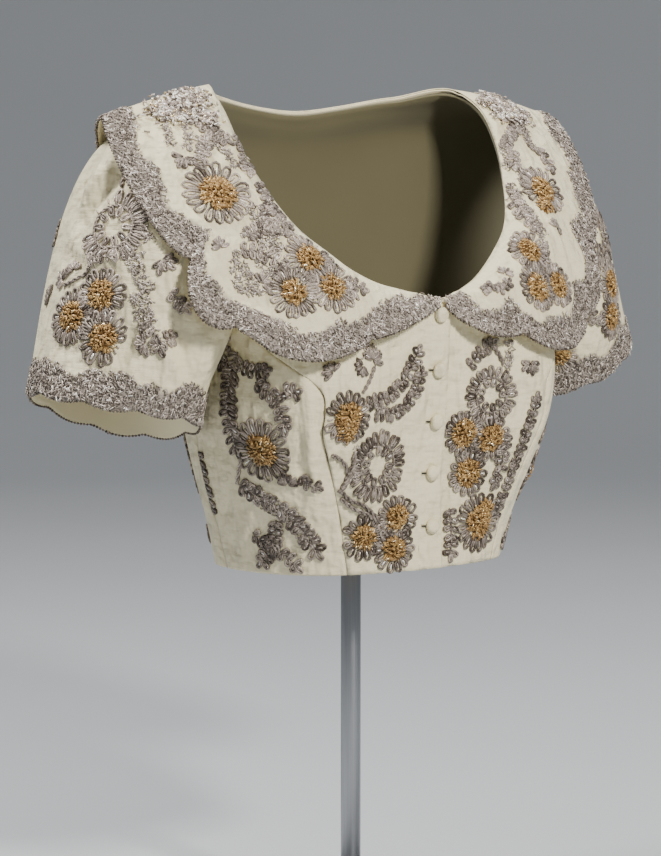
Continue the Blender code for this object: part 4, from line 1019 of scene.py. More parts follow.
def collar_skin():
    """The collar's outer points: a row for each step round the neck, out to the edge."""
    rise = collar_rise(COLLAR_STEPS, COLLAR_SHARES)
    fine = np.concatenate([np.linspace(0, 1, 19), np.linspace(1, 2, 10)[1:]])
    points, up = collar_base(COLLAR_FINE_STEPS, fine)
    rows = np.arange(len(rise), dtype=float)
    rise = spline(rows, rise, np.linspace(0, rows[-1], len(points)))
    rise = spline(COLLAR_SHARES, rise.T, fine).T
    dip = (COLLAR_SEAT - COLLAR_NECK_SEAT) * (1 - smooth_step(fine / 0.16))
    return points + up[:, None] * (rise - dip)[..., None]


# Fine skins of the cloth pieces
def panel_grid(piece):
    """Rows of angles and levels of a body panel, fine enough for its folds."""
    if piece == "back":
        grids, steps = back_grid(), (3, 5)
    elif piece.startswith("side"):
        grids, steps = side_front_grid(), (7, 7)
    else:
        lap = OVERLAP_X if piece.endswith("right") else UNDERLAP_X
        grids, steps = front_grid(-lap), (4, 5)
    degrees, levels = (refine(grid, *steps) for grid in grids)
    levels = np.sort(levels, axis=0)
    degrees = np.where(degrees > 180, degrees - 360, degrees)
    if piece.endswith("right"):
        return -degrees[:, ::-1], levels[:, ::-1]
    return degrees, levels


def seam_dip(points, piece):
    """How far the cloth dips towards its seams; a front's middle edge has none."""
    along = np.array([measured(row) for row in points])
    left, right = along, along[:, -1:] - along
    away = {"front_left": right, "front_right": left}.get(piece, np.minimum(left, right))
    return SEAM_DIP * np.exp(-((away / SEAM_SPREAD) ** 2))


def pulled_in(grid, *ends):
    """Moves a panel's end columns half a seam's gap inwards, square to the edge."""
    moved = grid.copy()
    for edge, beside in ends:
        inward = grid[:, beside] - grid[:, edge]
        inward = square_to(inward, unit(np.gradient(grid[:, edge], axis=0)))
        moved[:, edge] += unit(inward) * SEAM_GAP / 2
    return moved


def panel_skin(piece):
    """A body panel's outer points, a little apart from its neighbours at the seams."""
    points = over(body, *panel_grid(piece))
    lift = overlap_lift(np.abs(points[..., 0])) if piece == "front_right" else 0
    points = points + outward(points, False) * (lift - seam_dip(points, piece))[..., None]
    points = pulled_in(points, (0, 1), (-1, -2))
    return pulled_in(points.swapaxes(0, 1), (-1, -2)).swapaxes(0, 1)


@functools.cache
def plain_skin(piece):
    if piece == "collar":
        return collar_skin()
    return sleeve_skin(piece) if piece in SLEEVE_PIECES else panel_skin(piece)


@functools.cache
def skin(piece):
    """A cloth piece's outer points with its folds pressed in."""
    points = plain_skin(piece)
    normals = outward(points, piece in SLEEVE_PIECES)
    for width, depth, *path in FOLDS[piece]:
        line = curve_through([spot(piece, place, folded=False)[0] for place in path], 25)
        away = np.linalg.norm(points[:, :, None] - line[None, None], axis=-1)
        nearest = away.argmin(axis=-1)
        fade = np.sin(np.pi * (nearest + 2) / (len(line) + 3)) ** 0.7
        height = depth / 1000 * np.exp(-((away.min(axis=-1) / (width / 1000)) ** 2)) * fade
        points = points + normals * height[..., None]
    return points


@functools.cache
def skin_lookup(piece, folded=True):
    """A search tree over a cloth piece's outer skin."""
    return search_tree([skin(piece) if folded else plain_skin(piece)], False)


def camera_place():
    """The camera's place and its right, up and forward directions."""
    middle = np.array([0, 0, HEM_HEIGHT + CAMERA_RISE])
    place = CAMERA_BACK * CAMERA_AWAY + middle
    down = math.tan(math.radians(CAMERA_LOOKS_DOWN)) * CAMERA_AWAY
    aim = middle - [0, 0, down] - CAMERA_RIGHT * CAMERA_ASIDE
    forward = unit(aim - place)
    right = unit(np.cross(forward, [0, 0, 1]))
    return place, right, np.cross(right, forward), forward


def spot(piece, place, folded=True):
    """The point and normal of a piece's skin at a place: photo pixels, or shares of its grid."""
    if max(abs(value) for value in place) <= 1:
        points = skin(piece) if folded else plain_skin(piece)
        at = [[(count - 1) * share] for count, share in zip(points.shape, place)]
        near, normal = on_grid(points, outward(points, piece in SLEEVE_PIECES), *np.array(at))
        return near[0], normal[0]
    origin, right, up, forward = camera_place()
    x, y = place[0] - PHOTO_WIDE / 2, place[1] - PHOTO_HIGH / 2
    ray = unit(forward * FOCAL_PIXELS + right * x - up * y)
    tree = skin_lookup(piece, folded)
    near, normal, _, _ = tree.ray_cast(origin.tolist(), ray.tolist())
    if near is None:
        depths = np.linspace(*JACKET_DEPTHS, 61)[:, None] * CAMERA_AWAY
        found = [tree.find_nearest(point) for point in (origin + ray * depths).tolist()]
        near, normal, _, _ = min(found, key=lambda one: one[3])
    return np.array(near), np.array(normal)


def lay(piece, points):
    """The nearest places and normals on a piece's skin, and which points don't pass its edge."""
    tree = skin_lookup(piece)
    flat = points.reshape(-1, 3)
    found = [tree.find_nearest(point)[:2] for point in flat.tolist()]
    hits, normals = np.array(found).reshape(len(flat), 2, 3).swapaxes(0, 1)
    inside = np.linalg.norm(square_to(flat - hits, normals), axis=1) < PAST_EDGE
    hits, normals = hits.reshape(points.shape), normals.reshape(points.shape)
    return hits, normals, inside.reshape(points.shape[:-1])


# Materials
class Value:
    """A shader socket, whose sums and products add Math nodes."""

    def __init__(self, finish, socket):
        self.finish = finish
        self.socket = socket

    def maths(self, operation, first, second):
        return self.finish.node("Math", {"operation": operation}, {0: first, 1: second})

    def __add__(self, other):
        return self.maths("ADD", self, other)

    def __radd__(self, other):
        return self.maths("ADD", other, self)

    def __sub__(self, other):
        return self.maths("SUBTRACT", self, other)

    def __rsub__(self, other):
        return self.maths("SUBTRACT", other, self)

    def __mul__(self, other):
        return self.maths("MULTIPLY", self, other)

    def __rmul__(self, other):
        return self.maths("MULTIPLY", other, self)


class Finish:
    """A material and the nodes that make it."""

    def __init__(self, name, **constants):
        self.material = bpy.data.materials.new(name)
        self.material.use_nodes = True
        self.tree = self.material.node_tree
        self.surface = self.tree.nodes["Principled BSDF"]
        for socket, value in constants.items():
            socket = socket.replace("_", " ").title().replace("Ior", "IOR")
            self.surface.inputs[socket].default_value = value

    def node(self, kind, setup, inputs, output=0):
        """Adds a node, sets it and then its sockets, and gives one of its outputs."""
        made = self.tree.nodes.new("ShaderNode" + kind)
        for name, value in setup.items():
            setattr(made, name, value)
        for key, value in inputs.items():
            self.feed(made.inputs[key], value)
        return Value(self, made.outputs[output])

    def feed(self, socket, value):
        if isinstance(value, Value):
            self.tree.links.new(value.socket, socket)
        else:
            socket.default_value = value

    def noise(self, scale, detail, stretch=None):
        """Noise on the piece's own coordinates, which may be stretched."""
        place = self.node("TexCoord", {}, {}, "Object")
        if stretch:
            place = self.node("Mapping", {}, {"Vector": place, "Scale": stretch})
        return self.node("TexNoise", {}, {"Vector": place, "Scale": scale, "Detail": detail})

    def mark(self, name):
        return self.node("Attribute", {"attribute_name": name}, {}, "Fac")

    def between(self, share, first, second):
        """A colour between two others."""
        inputs = {0: share, 6: first, 7: second}
        return self.node("Mix", {"data_type": "RGBA", "clamp_factor": True}, inputs, 2)

    def cover(self, colour, rough):
        self.feed(self.surface.inputs["Base Color"], colour)
        self.feed(self.surface.inputs["Roughness"], rough)

    def bumps(self, height, strength, distance):
        inputs = {"Height": height, "Strength": strength, "Distance": distance}
        self.feed(self.surface.inputs["Normal"], self.node("Bump", {}, inputs))


def settings():
    return bpy.context.scene.bolero


def shade(colour, times):
    return (colour[0] * times, colour[1] * times, colour[2] * times, 1.0)


@functools.cache
def cloth_finish():
    """Ivory silk faille: fine cross ribs, faint slubs, and under the beaded bands the beads' grey,
    darkened as painted shade between the beads.
    """
    finish = Finish("ivory_silk", sheen_weight=0.12, sheen_roughness=0.45, specular_ior_level=0.4)
    colour, dark, light = settings().ivory, settings().pewter_dark, settings().pewter_light
    clouds = finish.noise(14.0, 3.0)
    slubs = finish.noise(1.0, 3.0, (45.0, 45.0, 620.0))
    grain = finish.noise(1500.0, 1.0)
    creases = finish.noise(1.0, 4.0, (38.0, 38.0, 130.0))
    puckers = finish.noise(48.0, 2.0)
    drape = finish.noise(1.0, 2.0, (62.0, 62.0, 15.0))
    # Soft patches of darker ivory, partly painted shade that stands for soft folds
    ivory = finish.between(clouds * 1.6 - 0.3, shade(colour, 0.88), shade(colour, 1.03))
    ivory = finish.between(slubs * 1.8 - 0.6, ivory, shade(colour, 0.92))
    # Under the bands: the beads' grey, kept dark as painted shade in the gaps between the beads
    bead_cover_and_shade = finish.between(grain, shade(dark, 0.9), shade(light, 0.62))
    finish.cover(finish.between(finish.mark("bead_cover_and_shade"), ivory, bead_cover_and_shade), 0.56 + slubs * 0.14)
    soft = creases * 2.4 + puckers * 8.0 + drape * 10.0
    finish.bumps(slubs * 0.30 + grain * 0.1 + soft, 0.85, 0.0010)
    return finish.material


@functools.cache
def lining_finish():
    """Plain cream silk inside the jacket."""
    finish = Finish("cream_lining", sheen_weight=0.2, sheen_roughness=0.5, specular_ior_level=0.3)
    clouds, grain = finish.noise(30.0, 2.0), finish.noise(1200.0, 1.0)
    dark, light = shade(settings().ivory, 0.9), shade(settings().ivory, 1.05)
    finish.cover(finish.between(clouds, dark, light), 0.6 + grain * 0.15)
    finish.bumps(grain, 0.2, 0.0003)
    return finish.material


def bead_finish(name, dark, light, metal, rough):
    finish = Finish(name, metallic=metal)
    tone, grain = finish.mark("tone"), finish.noise(1100.0, 1.0)
    # The tone spreads strands at random between a dark and a light colour, which stand for painted
    # shade and painted highlights on the beads
    colour = finish.between(tone, shade(dark, 1.0), shade(light, 1.0))
    finish.cover(colour, rough + grain * 0.22 - tone * 0.10)
    finish.bumps(grain, 0.8, 0.0005)
    return finish.material


@functools.cache
def bead_finishes():
    """The beadwork's materials, in the order of PEWTER, GOLD, GLINT_BEAD, TAUPE and GOLD_HIGHLIGHT;
    the near-white and pale gold ones are painted glints and highlights.
    """
    kit = settings()
    return (
        bead_finish("pewter_purl", kit.pewter_dark, kit.pewter_light, 0.30, 0.34),
        bead_finish("gold_purl", kit.gold_dark, kit.gold_light, 0.30, 0.30),
        # Pale beads whose near-white colour partly stands for painted glints
        bead_finish("bright_bead", kit.pewter_light, (0.97, 0.94, 0.86), 0.15, 0.16),
        bead_finish("taupe_loop", kit.taupe_dark, kit.taupe_light, 0.28, 0.36),
        # Pale gold that stands for painted highlights on the gold middles and clusters
        bead_finish("painted_highlight_gold", kit.gold_light, (0.99, 0.88, 0.62), 0.55, 0.14),
    )


def thread_finish():
    """Cream sewing thread of the buttonholes."""
    finish = Finish("cream_thread", specular_ior_level=0.3)
    tone = finish.mark("tone")
    dark, light = shade(settings().ivory, 0.6), shade(settings().ivory, 0.95)
    finish.cover(finish.between(tone, dark, light), 0.6 + tone * 0.1)
    return finish.material


def slit_shade_finish():
    """Painted shade in a buttonhole's slit: near-black between the stitches."""
    finish = Finish("buttonhole_slit_shade")
    dark, light = shade(settings().ivory, 0.02), shade(settings().ivory, 0.05)
    finish.cover(finish.between(finish.noise(400.0, 2.0), dark, light), 0.9)
    return finish.material


def form_finish():
    finish = Finish("olive_covering", sheen_weight=0.15, sheen_roughness=0.6)
    clouds, grain = finish.noise(9.0, 2.0), finish.noise(1300.0, 2.0)
    dark, light = shade(settings().olive, 0.86), shade(settings().olive, 1.12)
    finish.cover(finish.between(clouds, dark, light), 0.72 + grain * 0.15)
    finish.bumps(grain, 0.25, 0.0003)
    return finish.material


@functools.cache
def steel_finish():
    finish = Finish("satin_steel", metallic=1.0)
    brushed, smears = finish.noise(1.0, 3.0, (900.0, 900.0, 14.0)), finish.noise(22.0, 2.0)
    dark, light = shade(settings().steel, 0.8), shade(settings().steel, 1.15)
    finish.cover(finish.between(brushed, dark, light), 0.26 + brushed * 0.12 + smears * 0.06)
    finish.bumps(brushed, 0.12, 0.0002)
    return finish.material


def wood_finish():
    finish = Finish("plain_board", specular_ior_level=0.4)
    colour = SLOTS["board_wood"]["base_color"]
    rings = finish.noise(1.0, 4.0, (8.0, 160.0, 160.0))
    finish.cover(finish.between(rings, shade(colour, 0.7), shade(colour, 1.25)), 0.5 + rings * 0.2)
    finish.bumps(rings, 0.15, 0.0004)
    return finish.material


def floor_finish():
    finish = Finish("pale_floor", specular_ior_level=0.2)
    clouds = finish.noise(2.2, 3.0)
    dark, light = shade(settings().floor, 0.97), shade(settings().floor, 1.03)
    finish.cover(finish.between(clouds, dark, light), 0.8 + clouds * 0.1)
    return finish.material


# Making pieces
def place_mesh(name, mesh, materials, node=None):
    """Makes a bmesh into an object that rides on the part and stands for a node."""
    data = bpy.data.meshes.new(name)
    mesh.to_mesh(data)
    mesh.free()
    return ride(name, data, materials, node)


def shown(name, data):
    made = bpy.data.objects.new(name, data)
    bpy.context.scene.collection.objects.link(made)
    return made


def ride(name, data, materials, node=None):
    data.shade_smooth()
    made = shown(name, data)
    for material in materials:
        made.data.materials.append(material)
    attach(made, "root")
    if node:
        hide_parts(node)
    return made


def grid_mesh(points):
    """A bmesh grid whose vertices lie at a grid of points."""
    rows, columns = points.shape[:2]
    mesh = bmesh.new()
    bmesh.ops.create_grid(mesh, x_segments=columns - 1, y_segments=rows - 1, size=1.0)
    for vertex, point in zip(mesh.verts, points.reshape(-1, 3).tolist()):
        vertex.co = point
    return mesh


def thicken(made, thickness, inside=0):
    """Gives a shell its wall, inwards, whose inner side has the material this much further on."""
    wall = made.modifiers.new("Thickness", "SOLIDIFY")
    wall.thickness, wall.offset, wall.material_offset = thickness, -1.0, inside


def spun(profile, steps, merge):
    """A bmesh turned round the z axis from a profile of radius and height."""
    mesh = bmesh.new()
    first = [mesh.verts.new((radius, 0, height)) for radius, height in profile]
    edges = [mesh.edges.new(pair) for pair in zip(first, first[1:])]
    turn = {"cent": (0, 0, 0), "axis": (0, 0, 1), "angle": 2 * math.pi, "steps": steps}
    bmesh.ops.spin(mesh, geom=first + edges, use_merge=True, use_duplicate=False, **turn)
    bmesh.ops.remove_doubles(mesh, verts=mesh.verts, dist=merge)
    return mesh


def quarter(steps, first=0):
    """Pairs of sine and cosine over a quarter turn, which ends at a cosine of exactly 0."""
    turns = [math.pi / 2 * step / steps for step in range(first, steps)]
    return [(math.sin(turn), math.cos(turn)) for turn in turns] + [(1.0, 0.0)]


def turned(name, profile, steps, material, slot, node, matrix=None):
    """A piece turned round the z axis; the steel ones have their sharp edges eased."""
    mesh = spun(profile, steps, 1e-6)
    sharp = [
        edge
        for edge in mesh.edges
        if len(edge.link_faces) == 2 and edge.calc_face_angle(0) > math.radians(50)
    ]
    if material.name.startswith("satin"):
        ease = {"offset": 0.0006, "segments": 2, "profile": 0.5, "affect": "EDGES", "material": -1}
        bmesh.ops.bevel(mesh, geom=sharp, **ease)
    bmesh.ops.recalc_face_normals(mesh, faces=mesh.faces)
    if mesh.calc_volume(signed=True) < 0:
        bmesh.ops.reverse_faces(mesh, faces=mesh.faces)
    if matrix is not None:
        bmesh.ops.transform(mesh, matrix=matrix, verts=mesh.verts)
    return place_mesh(name, mesh, [material], node)


def edge_distance(points):
    """How far each point of a grid lies from its last column's edge, along its row."""
    steps = np.linalg.norm(np.diff(points, axis=1), axis=-1)
    beyond = np.cumsum(steps[:, ::-1], axis=1)[:, ::-1]
    return np.concatenate([beyond, np.zeros((len(points), 1))], axis=1)


def band_depth_at(points):
    """The beaded band's depth at each step along the edge, which swells and narrows."""
    along = measured(points[:, -1])
    waves = sum(share * np.sin(along / length + start) for share, length, start in BAND_WAVES)
    inner = np.linalg.norm(points[:, 0] - points[:, -1], axis=-1)
    return np.minimum(settings().band_depth * (1 + waves), inner * BEADED_MOST)


def cloth(piece):
    """A cloth piece from a grid moved to its skin and given its thickness."""
    points, closed = skin(piece), piece in SLEEVE_PIECES
    mesh = grid_mesh(points)
    # Marks where the beaded band covers the cloth: its finish paints that ground in the beads'
    # grey, darkened as painted shade between the beads
    marks = np.zeros(points.shape[:2])
    if closed or piece == "collar":
        grid = np.swapaxes(points, 0, 1) if closed else points
        inside = smooth_step((band_depth_at(grid)[:, None] - edge_distance(grid)) / BAND_FADE)
        marks = inside.T if closed else inside
    bead_cover_and_shade = mesh.verts.layers.float.new("bead_cover_and_shade")
    for vertex, mark in zip(mesh.verts, marks.ravel().tolist()):
        vertex[bead_cover_and_shade] = mark
    if closed:
        bmesh.ops.remove_doubles(mesh, verts=mesh.verts, dist=1e-5)
    finishes = [cloth_finish(), lining_finish()]
    made = place_mesh("cloth_" + piece, mesh, finishes, piece)
    thicken(made, SILK, 1)


# Beadwork
def level_frame(normal):
    """Directions across and up on a surface."""
    up = unit(np.array([0, 0, 1.0]) - normal * normal[..., 2:] + 1e-9)
    return np.cross(up, normal), up


def strokes(aims, lengths, steps=(-1, 0, 1)):
    """Straight strands by their direction and half length, from their middles."""
    return np.array(steps)[None, :, None] * (aims * lengths[:, None])[:, None]


def course(piece, path, at, step):
    """Places and normals on a piece's skin along a path, and the way onwards."""
    middle, ahead = along_path(path, at), along_path(path, at + step)
    near, normals, _ = lay(piece, middle)
    return near, normals, unit(ahead - middle + 1e-9)


class Beadwork:
    """Gathers short round strands and makes them one mesh."""

    def __init__(self, seed):
        self.random = np.random.default_rng(seed)
        self.points, self.faces, self.tones, self.slots = [], [], [], []
        self.count = 0

    def strands(self, paths, normals, radius, tone, slot, sides=4, taper=0.65):
        """Strands along paths, in one of the bead materials."""
        number, length = paths.shape[:2]
        if number == 0:
            return
        along = unit(np.gradient(paths, axis=1))
        normals = np.broadcast_to(normals.reshape(number, -1, 3), paths.shape)
        across = unit(np.cross(along, normals))
        up = np.cross(across, along)
        thick = np.repeat(np.broadcast_to(radius, number)[:, None], length, axis=1)
        thick[:, [0, -1]] *= taper
        turn = np.arange(sides) * 2 * np.pi / sides + np.pi / 4
        spread = toward(turn, across[:, :, None], up[:, :, None])
        self.points.append((paths[:, :, None] + spread * thick[..., None, None]).reshape(-1, 3))
        index = np.arange(number * length * sides).reshape(number, length, sides) + self.count
        self.count += index.size
        here, after = index[:, :-1], index[:, 1:]
        walls = [here, after, np.roll(after, -1, axis=2), np.roll(here, -1, axis=2)]
        faces = [np.stack(walls, axis=-1).reshape(-1, 4)]
        for ring in (index[:, 0], index[:, -1, ::-1]):
            for corner in range(1, sides - 2, 2):
                faces.append(ring[:, [0, corner, corner + 1, corner + 2]])
        faces = np.concatenate(faces)
        self.faces.append(faces)
        uneven = self.random.uniform(-0.28, 0.28, (number, length))
        tones = np.clip(np.broadcast_to(tone, number)[:, None] + uneven, 0, 1)
        self.tones.append(np.repeat(tones.ravel(), sides))
        self.slots.append(np.full(len(faces), slot))

    def tone(self, number, low=0.0, high=1.0):
        """Uneven tones, mostly middling, some dark and a few bright."""
        return low + (high - low) * self.random.beta(1.4, 1.9, number)

    def draw(self, number, low=0.0, high=1.0):
        return self.random.uniform(low, high, number)

    def laid(self, piece, paths, lift, radius, tone, slot, sides=4, taper=0.65):
        """Strands laid on a piece's skin, leaving out those that would pass its edge."""
        hits, normals, inside = lay(piece, paths)
        whole = inside.all(axis=1)
        lift = np.broadcast_to(lift, paths.shape[:2])
        paths = hits + normals * lift[..., None]
        radius, tone = np.broadcast_to(radius, len(paths)), np.broadcast_to(tone, len(paths))
        self.strands(paths[whole], normals[whole], radius[whole], tone[whole], slot, sides, taper)

    def petals(self, piece, bases, ways, normals, lengths, widths):
        """Looped strands from their bases outwards, each with a short strand inside."""
        number = len(bases)
        across = np.cross(ways, normals)
        lengths, widths = (np.broadcast_to(size, number)[:, None] for size in (lengths, widths))
        thick = settings().loop_radius
        paths = bases[:, None] + ways[:, None] * (lengths * PETAL_FORWARD)[..., None]
        paths = paths + across[:, None] * ((widths - 2 * thick) * PETAL_ASIDE)[..., None]
        paths = paths + self.random.normal(0, PETAL_WAVER, paths.shape)
        # Petals on the fronts take darker tones as painted shade, the others lighter ones as
        # painted light
        tone = self.tone(number, *(FRONT_SHADE_TONES if "front" in piece else OTHER_LIT_TONES))
        self.laid(piece, paths, thick * 0.9, thick, tone, TAUPE)
        middle = bases[:, None] + ways[:, None] * (lengths * PETAL_INSIDE)[..., None]
        # Some petals' inner strands are near-white, as painted glints
        bright = self.draw(number) < GLINT_BEAD_PETALS
        for chosen, slot in ((bright, GLINT_BEAD), (~bright, TAUPE)):
            near = middle[chosen]
            tone = self.tone(len(near), 0.6, 1.0)
            self.laid(piece, near, thick * 0.9, thick * 0.8, tone, slot, 4, 0.8)

    def fan(self, piece, centre, normal, turn, start, reach, spread, width, facing=1):
        """Petals at angles round a centre, outwards or inwards from one distance."""
        ways = toward(turn, *level_frame(normal))
        lengths = reach * self.draw(len(turn), *spread)
        self.petals(piece, centre + ways * start, ways * facing, normal, lengths, width)

    def flower(self, piece, centre, normal, gold, reach):
        """A raised gold middle in a ring of looped petals."""
        count = int(round(2 * np.pi * reach / (FLOWER_PITCH + FLOWER_WIDENING * reach)))
        turn = (np.arange(count) + self.draw(count, -0.15, 0.15)) * 2 * np.pi / count
        start, width = gold * 0.92, 2 * np.pi * reach * 0.86 / count * 0.94
        self.fan(piece, centre, normal, turn, start, reach - start, (0.86, 1.04), width)
        self.mound(piece, centre, normal, gold)

    def wreath(self, piece, centre, normal, hole, reach):
        """Two rings of loops on both sides of a cord, round an open middle."""
        ring = hole + (reach - hole) * WREATH_RING
        for facing, size in ((1, reach - ring), (-1, ring - hole)):
            count = int(round(2 * np.pi * (ring + facing * size * 0.7) / WREATH_PITCH))
            turn = np.arange(count) * 2 * np.pi / count + self.draw(count, -0.05, 0.05)
            self.fan(piece, centre, normal, turn, ring, size, (0.85, 1.05), WREATH_LOOP, facing)
        turn = np.linspace(0, 2 * np.pi, 40)
        self.cord(piece, centre + toward(turn, *level_frame(normal)) * ring, WREATH_CORD)

    def sprig(self, piece, centre, normal, length, turn):
        """A fan of loops from one point."""
        turns = np.radians(turn + SPRIG_TURNS)
        self.fan(piece, centre, normal, turns, 0.001, length, (0.75, 1.1), length * 0.52)

    def mound(self, piece, centre, normal, size):
        """A heap of short gold strands that lean outwards, highest in the middle."""
        right, up = level_frame(normal)
        number = int(MOUND_STRANDS * (size / 0.014) ** 2)
        far = np.sqrt(self.draw(number))
        turn = self.draw(number, 0, 2 * np.pi)
        aim = turn + self.random.normal(0, 0.6, number)
        length = self.draw(number, 0.0014, 0.0030)
        middle = centre + toward(turn, right, up) * (far * size)[:, None]
        paths = middle[:, None] + strokes(toward(aim, right, up), length)
        height = 0.0012 + 0.0026 * (1 - far**2) + self.draw(number, 0, 0.0008)
        lift = height[:, None] * ARCHED
        thick = 0.00088 * self.draw(number, 0.7, 1.25)
        tone = self.tone(number)
        # A few strands take the pale gold as painted highlights
        highlighted = self.draw(number) < GOLD_HIGHLIGHT_SHARE
        for chosen, slot in ((highlighted, GOLD_HIGHLIGHT), (~highlighted, GOLD)):
            self.laid(piece, paths[chosen], lift[chosen], thick[chosen], tone[chosen], slot)
        # A flat pad of darker gold under the strands, whose dark tone is painted shade between them
        across = np.linspace(-0.82, 0.82, 5)[:, None]
        along = (np.sqrt(1 - across**2) * np.linspace(-1, 1, 5))[..., None]
        pad = centre + size * 0.86 * (across[..., None] * up + along * right)
        self.laid(piece, pad, 0.0004, size * 0.19, 0.25, GOLD, 6)

    def cord(self, piece, path, width):
        """Two strands twisted round each other along a path."""
        along = measured(path)[-1]
        at = np.linspace(0, along, max(int(along / 0.0011), 6))
        near, normals, _ = lay(piece, along_path(path, at))
        side = np.cross(unit(np.gradient(near, axis=0)), normals)
        for start in (0, np.pi):
            twist = at / width * 2.1 + start
            lift = (1.15 + np.cos(twist) * 0.6) * width * 0.27
            strand = near + side * (np.sin(twist) * width * 0.25)[:, None]
            tone = self.tone(1, 0.15, 0.7)
            self.laid(piece, strand[None], lift[None], width * 0.27, tone, TAUPE)

    def scroll(self, piece, path, width):
        """Short strands in all directions, packed along a path."""
        along = measured(path)[-1]
        number = int(along * width / SCROLL_AREA)
        at = self.draw(number, 0, along)
        near, normals, way = course(piece, path, at, 0.001)
        side = np.cross(way, normals)
        middle = near + side * (self.draw(number, -0.5, 0.5) * width)[:, None]
        aims = toward(self.draw(number, 0, 2 * np.pi), way, side)
        bend = np.cross(aims, normals) * self.random.normal(0, 0.0008, number)[:, None]
        length = settings().purl_length * self.draw(number, 0.35, 0.6)
        paths = middle[:, None] + strokes(aims, length)
        paths = paths + bend[:, None] * np.array([0, 1, 0])[None, :, None]
        lift = self.draw(number, 0.0005, 0.0015)[:, None] * ARCHED
        purl = settings().purl_radius * self.draw(number, 0.85, 1.2)
        self.laid(piece, paths, lift, purl, self.tone(number), PEWTER)

    def spray(self, piece, path, length, width):
        """Pairs of looped leaves along a stem, and one at its tip."""
        at = np.arange(width * 0.4, measured(path)[-1], width * 1.22)
        near, normals, way = course(piece, path, at, 0.0015)
        way[-1] = way[-2] if len(way) > 1 else way[-1]
        side = np.cross(way, normals)
        for hand in (-1, 1):
            lean = np.radians(self.draw(len(at), 52, 84))[:, None]
            ways = unit(way * np.cos(lean) + side * np.sin(lean) * hand)
            lengths = length * self.draw(len(at), 0.68, 0.95)
            self.petals(piece, near, ways, normals, lengths, width * 1.1)
        self.petals(piece, near[-1:], way[-1:], normals[-1:], length, width)
        self.cord(piece, path, STEM_CORD)

    def cluster(self, piece, path, width):
        """Near-white, gold and grey cut beads heaped along a path; the near-white and pale gold
        ones are painted glints and highlights.
        """
        along = measured(path)[-1]
        number = int(along * width / CLUSTER_AREA)
        near, normals, _ = course(piece, path, self.draw(number, 0, along), 0)
        right, up = level_frame(normals)
        across, above = self.random.normal(0, 0.27, (2, number, 1)) * width
        middle = near + right * across + up * above
        aims = toward(self.draw(number, 0, 2 * np.pi), right, up)
        paths = middle[:, None] + strokes(aims, self.draw(number, 0.0010, 0.0026), (-1, 1))
        lift = self.draw(number, 0.0006, 0.0036)[:, None] + self.draw((number, 2), 0, 1e-3)
        thick = self.draw(number, 0.0007, 0.0015)
        draw = self.draw(number)
        tone = self.tone(number, 0.3, 1.0)
        for slot, low, high in CLUSTER_SHARES:
            chosen = (draw >= low) & (draw < high)
            one = (part[chosen] for part in (paths, lift, thick, tone))
            self.laid(piece, *one, slot, 4, 0.8)

    def build(self, name, materials=None):
        data = bpy.data.meshes.new(name)
        points, faces = np.concatenate(self.points), np.concatenate(self.faces)
        starts, slots = np.arange(0, faces.size, 4), np.concatenate(self.slots)
        data.vertices.add(len(points))
        data.vertices.foreach_set("co", points.astype(np.float32).ravel())
        data.loops.add(faces.size)
        data.loops.foreach_set("vertex_index", faces.astype(np.int32).ravel())
        data.polygons.add(len(faces))
        data.polygons.foreach_set("loop_start", starts.astype(np.int32))
        data.polygons.foreach_set("material_index", slots.astype(np.int32))
        data.update(calc_edges=True)
        tone = data.attributes.new("tone", "FLOAT", "POINT")
        tone.data.foreach_set("value", np.concatenate(self.tones).astype(np.float32))
        return ride(name, data, materials or bead_finishes())


def sew(piece, name, seed):
    """One mesh of all the motifs on a piece."""
    work = Beadwork(seed)
    for kind, (size, *second), *places in MOTIFS[piece]:
        found = [spot(piece, place) for place in places]
        if len(found) > 1:
            found = [(curve_through([point for point, _ in found], 40),)]
        second = second if kind == "sprig" else [value / 1000 for value in second]
        getattr(work, kind)(piece, *found[0], size / 1000, *second)
    work.build(name)


def band_spots(points, density, random):
    """Rows and columns scattered over the band beside a grid's beaded edge."""
    depth, away = band_depth_at(points), edge_distance(points)
    rows, columns = [], []
    numbers = np.arange(points.shape[1], dtype=float)
    for row in range(len(points) - 1):
        step = np.linalg.norm(points[row + 1, -1] - points[row, -1])
        number = random.poisson(step * depth[row] * density)
        distance = random.uniform(0, 1, number) * depth[row]
        columns.append(np.interp(distance, away[row, ::-1], numbers[::-1]))
        rows.append(row + random.uniform(0, 1, number))
    return np.concatenate(rows), np.concatenate(columns)


def bead_band(name, grid, normals, seed):
    """Straight and bent strands packed over the band beside a grid's edge."""
    work = Beadwork(seed)
    rows, columns = band_spots(grid, settings().band_density * 1e6, work.random)
    middle, out = on_grid(grid, normals, rows, columns)
    way = unit(on_grid(grid, normals, rows + 0.25, columns)[0] - middle + 1e-9)
    number = len(middle)
    aims = toward(work.draw(number, 0, 2 * np.pi), way, np.cross(way, out))
    length = settings().purl_length * work.draw(number, 0.38, 0.62)
    reach = aims * length[:, None]
    bend = np.cross(aims, out) * (length * work.random.choice([-0.9, 0.9], number))[:, None]
    lift = work.draw(number, 0.0003, 0.0015)[:, None] * out
    purl = settings().purl_radius * work.draw(number, 0.8, 1.2)
    tone = work.tone(number)
    draw = work.draw(number)
    straight = np.stack([middle - reach + lift, middle + reach + lift], axis=1)
    bent = np.stack([middle - reach * 0.8, middle + bend, middle + reach * 0.8], axis=1)
    shapes = {"straight": straight, "bent": bent + lift[:, None]}
    for shape, slot, low, high in BAND_SHARES:
        chosen = (draw >= low) & (draw < high)
        one = (part[chosen] for part in (shapes[shape], out, purl, tone))
        work.strands(*one, slot, 4, 0.8)
    edge_beads(work, grid, normals)
    work.build(name)


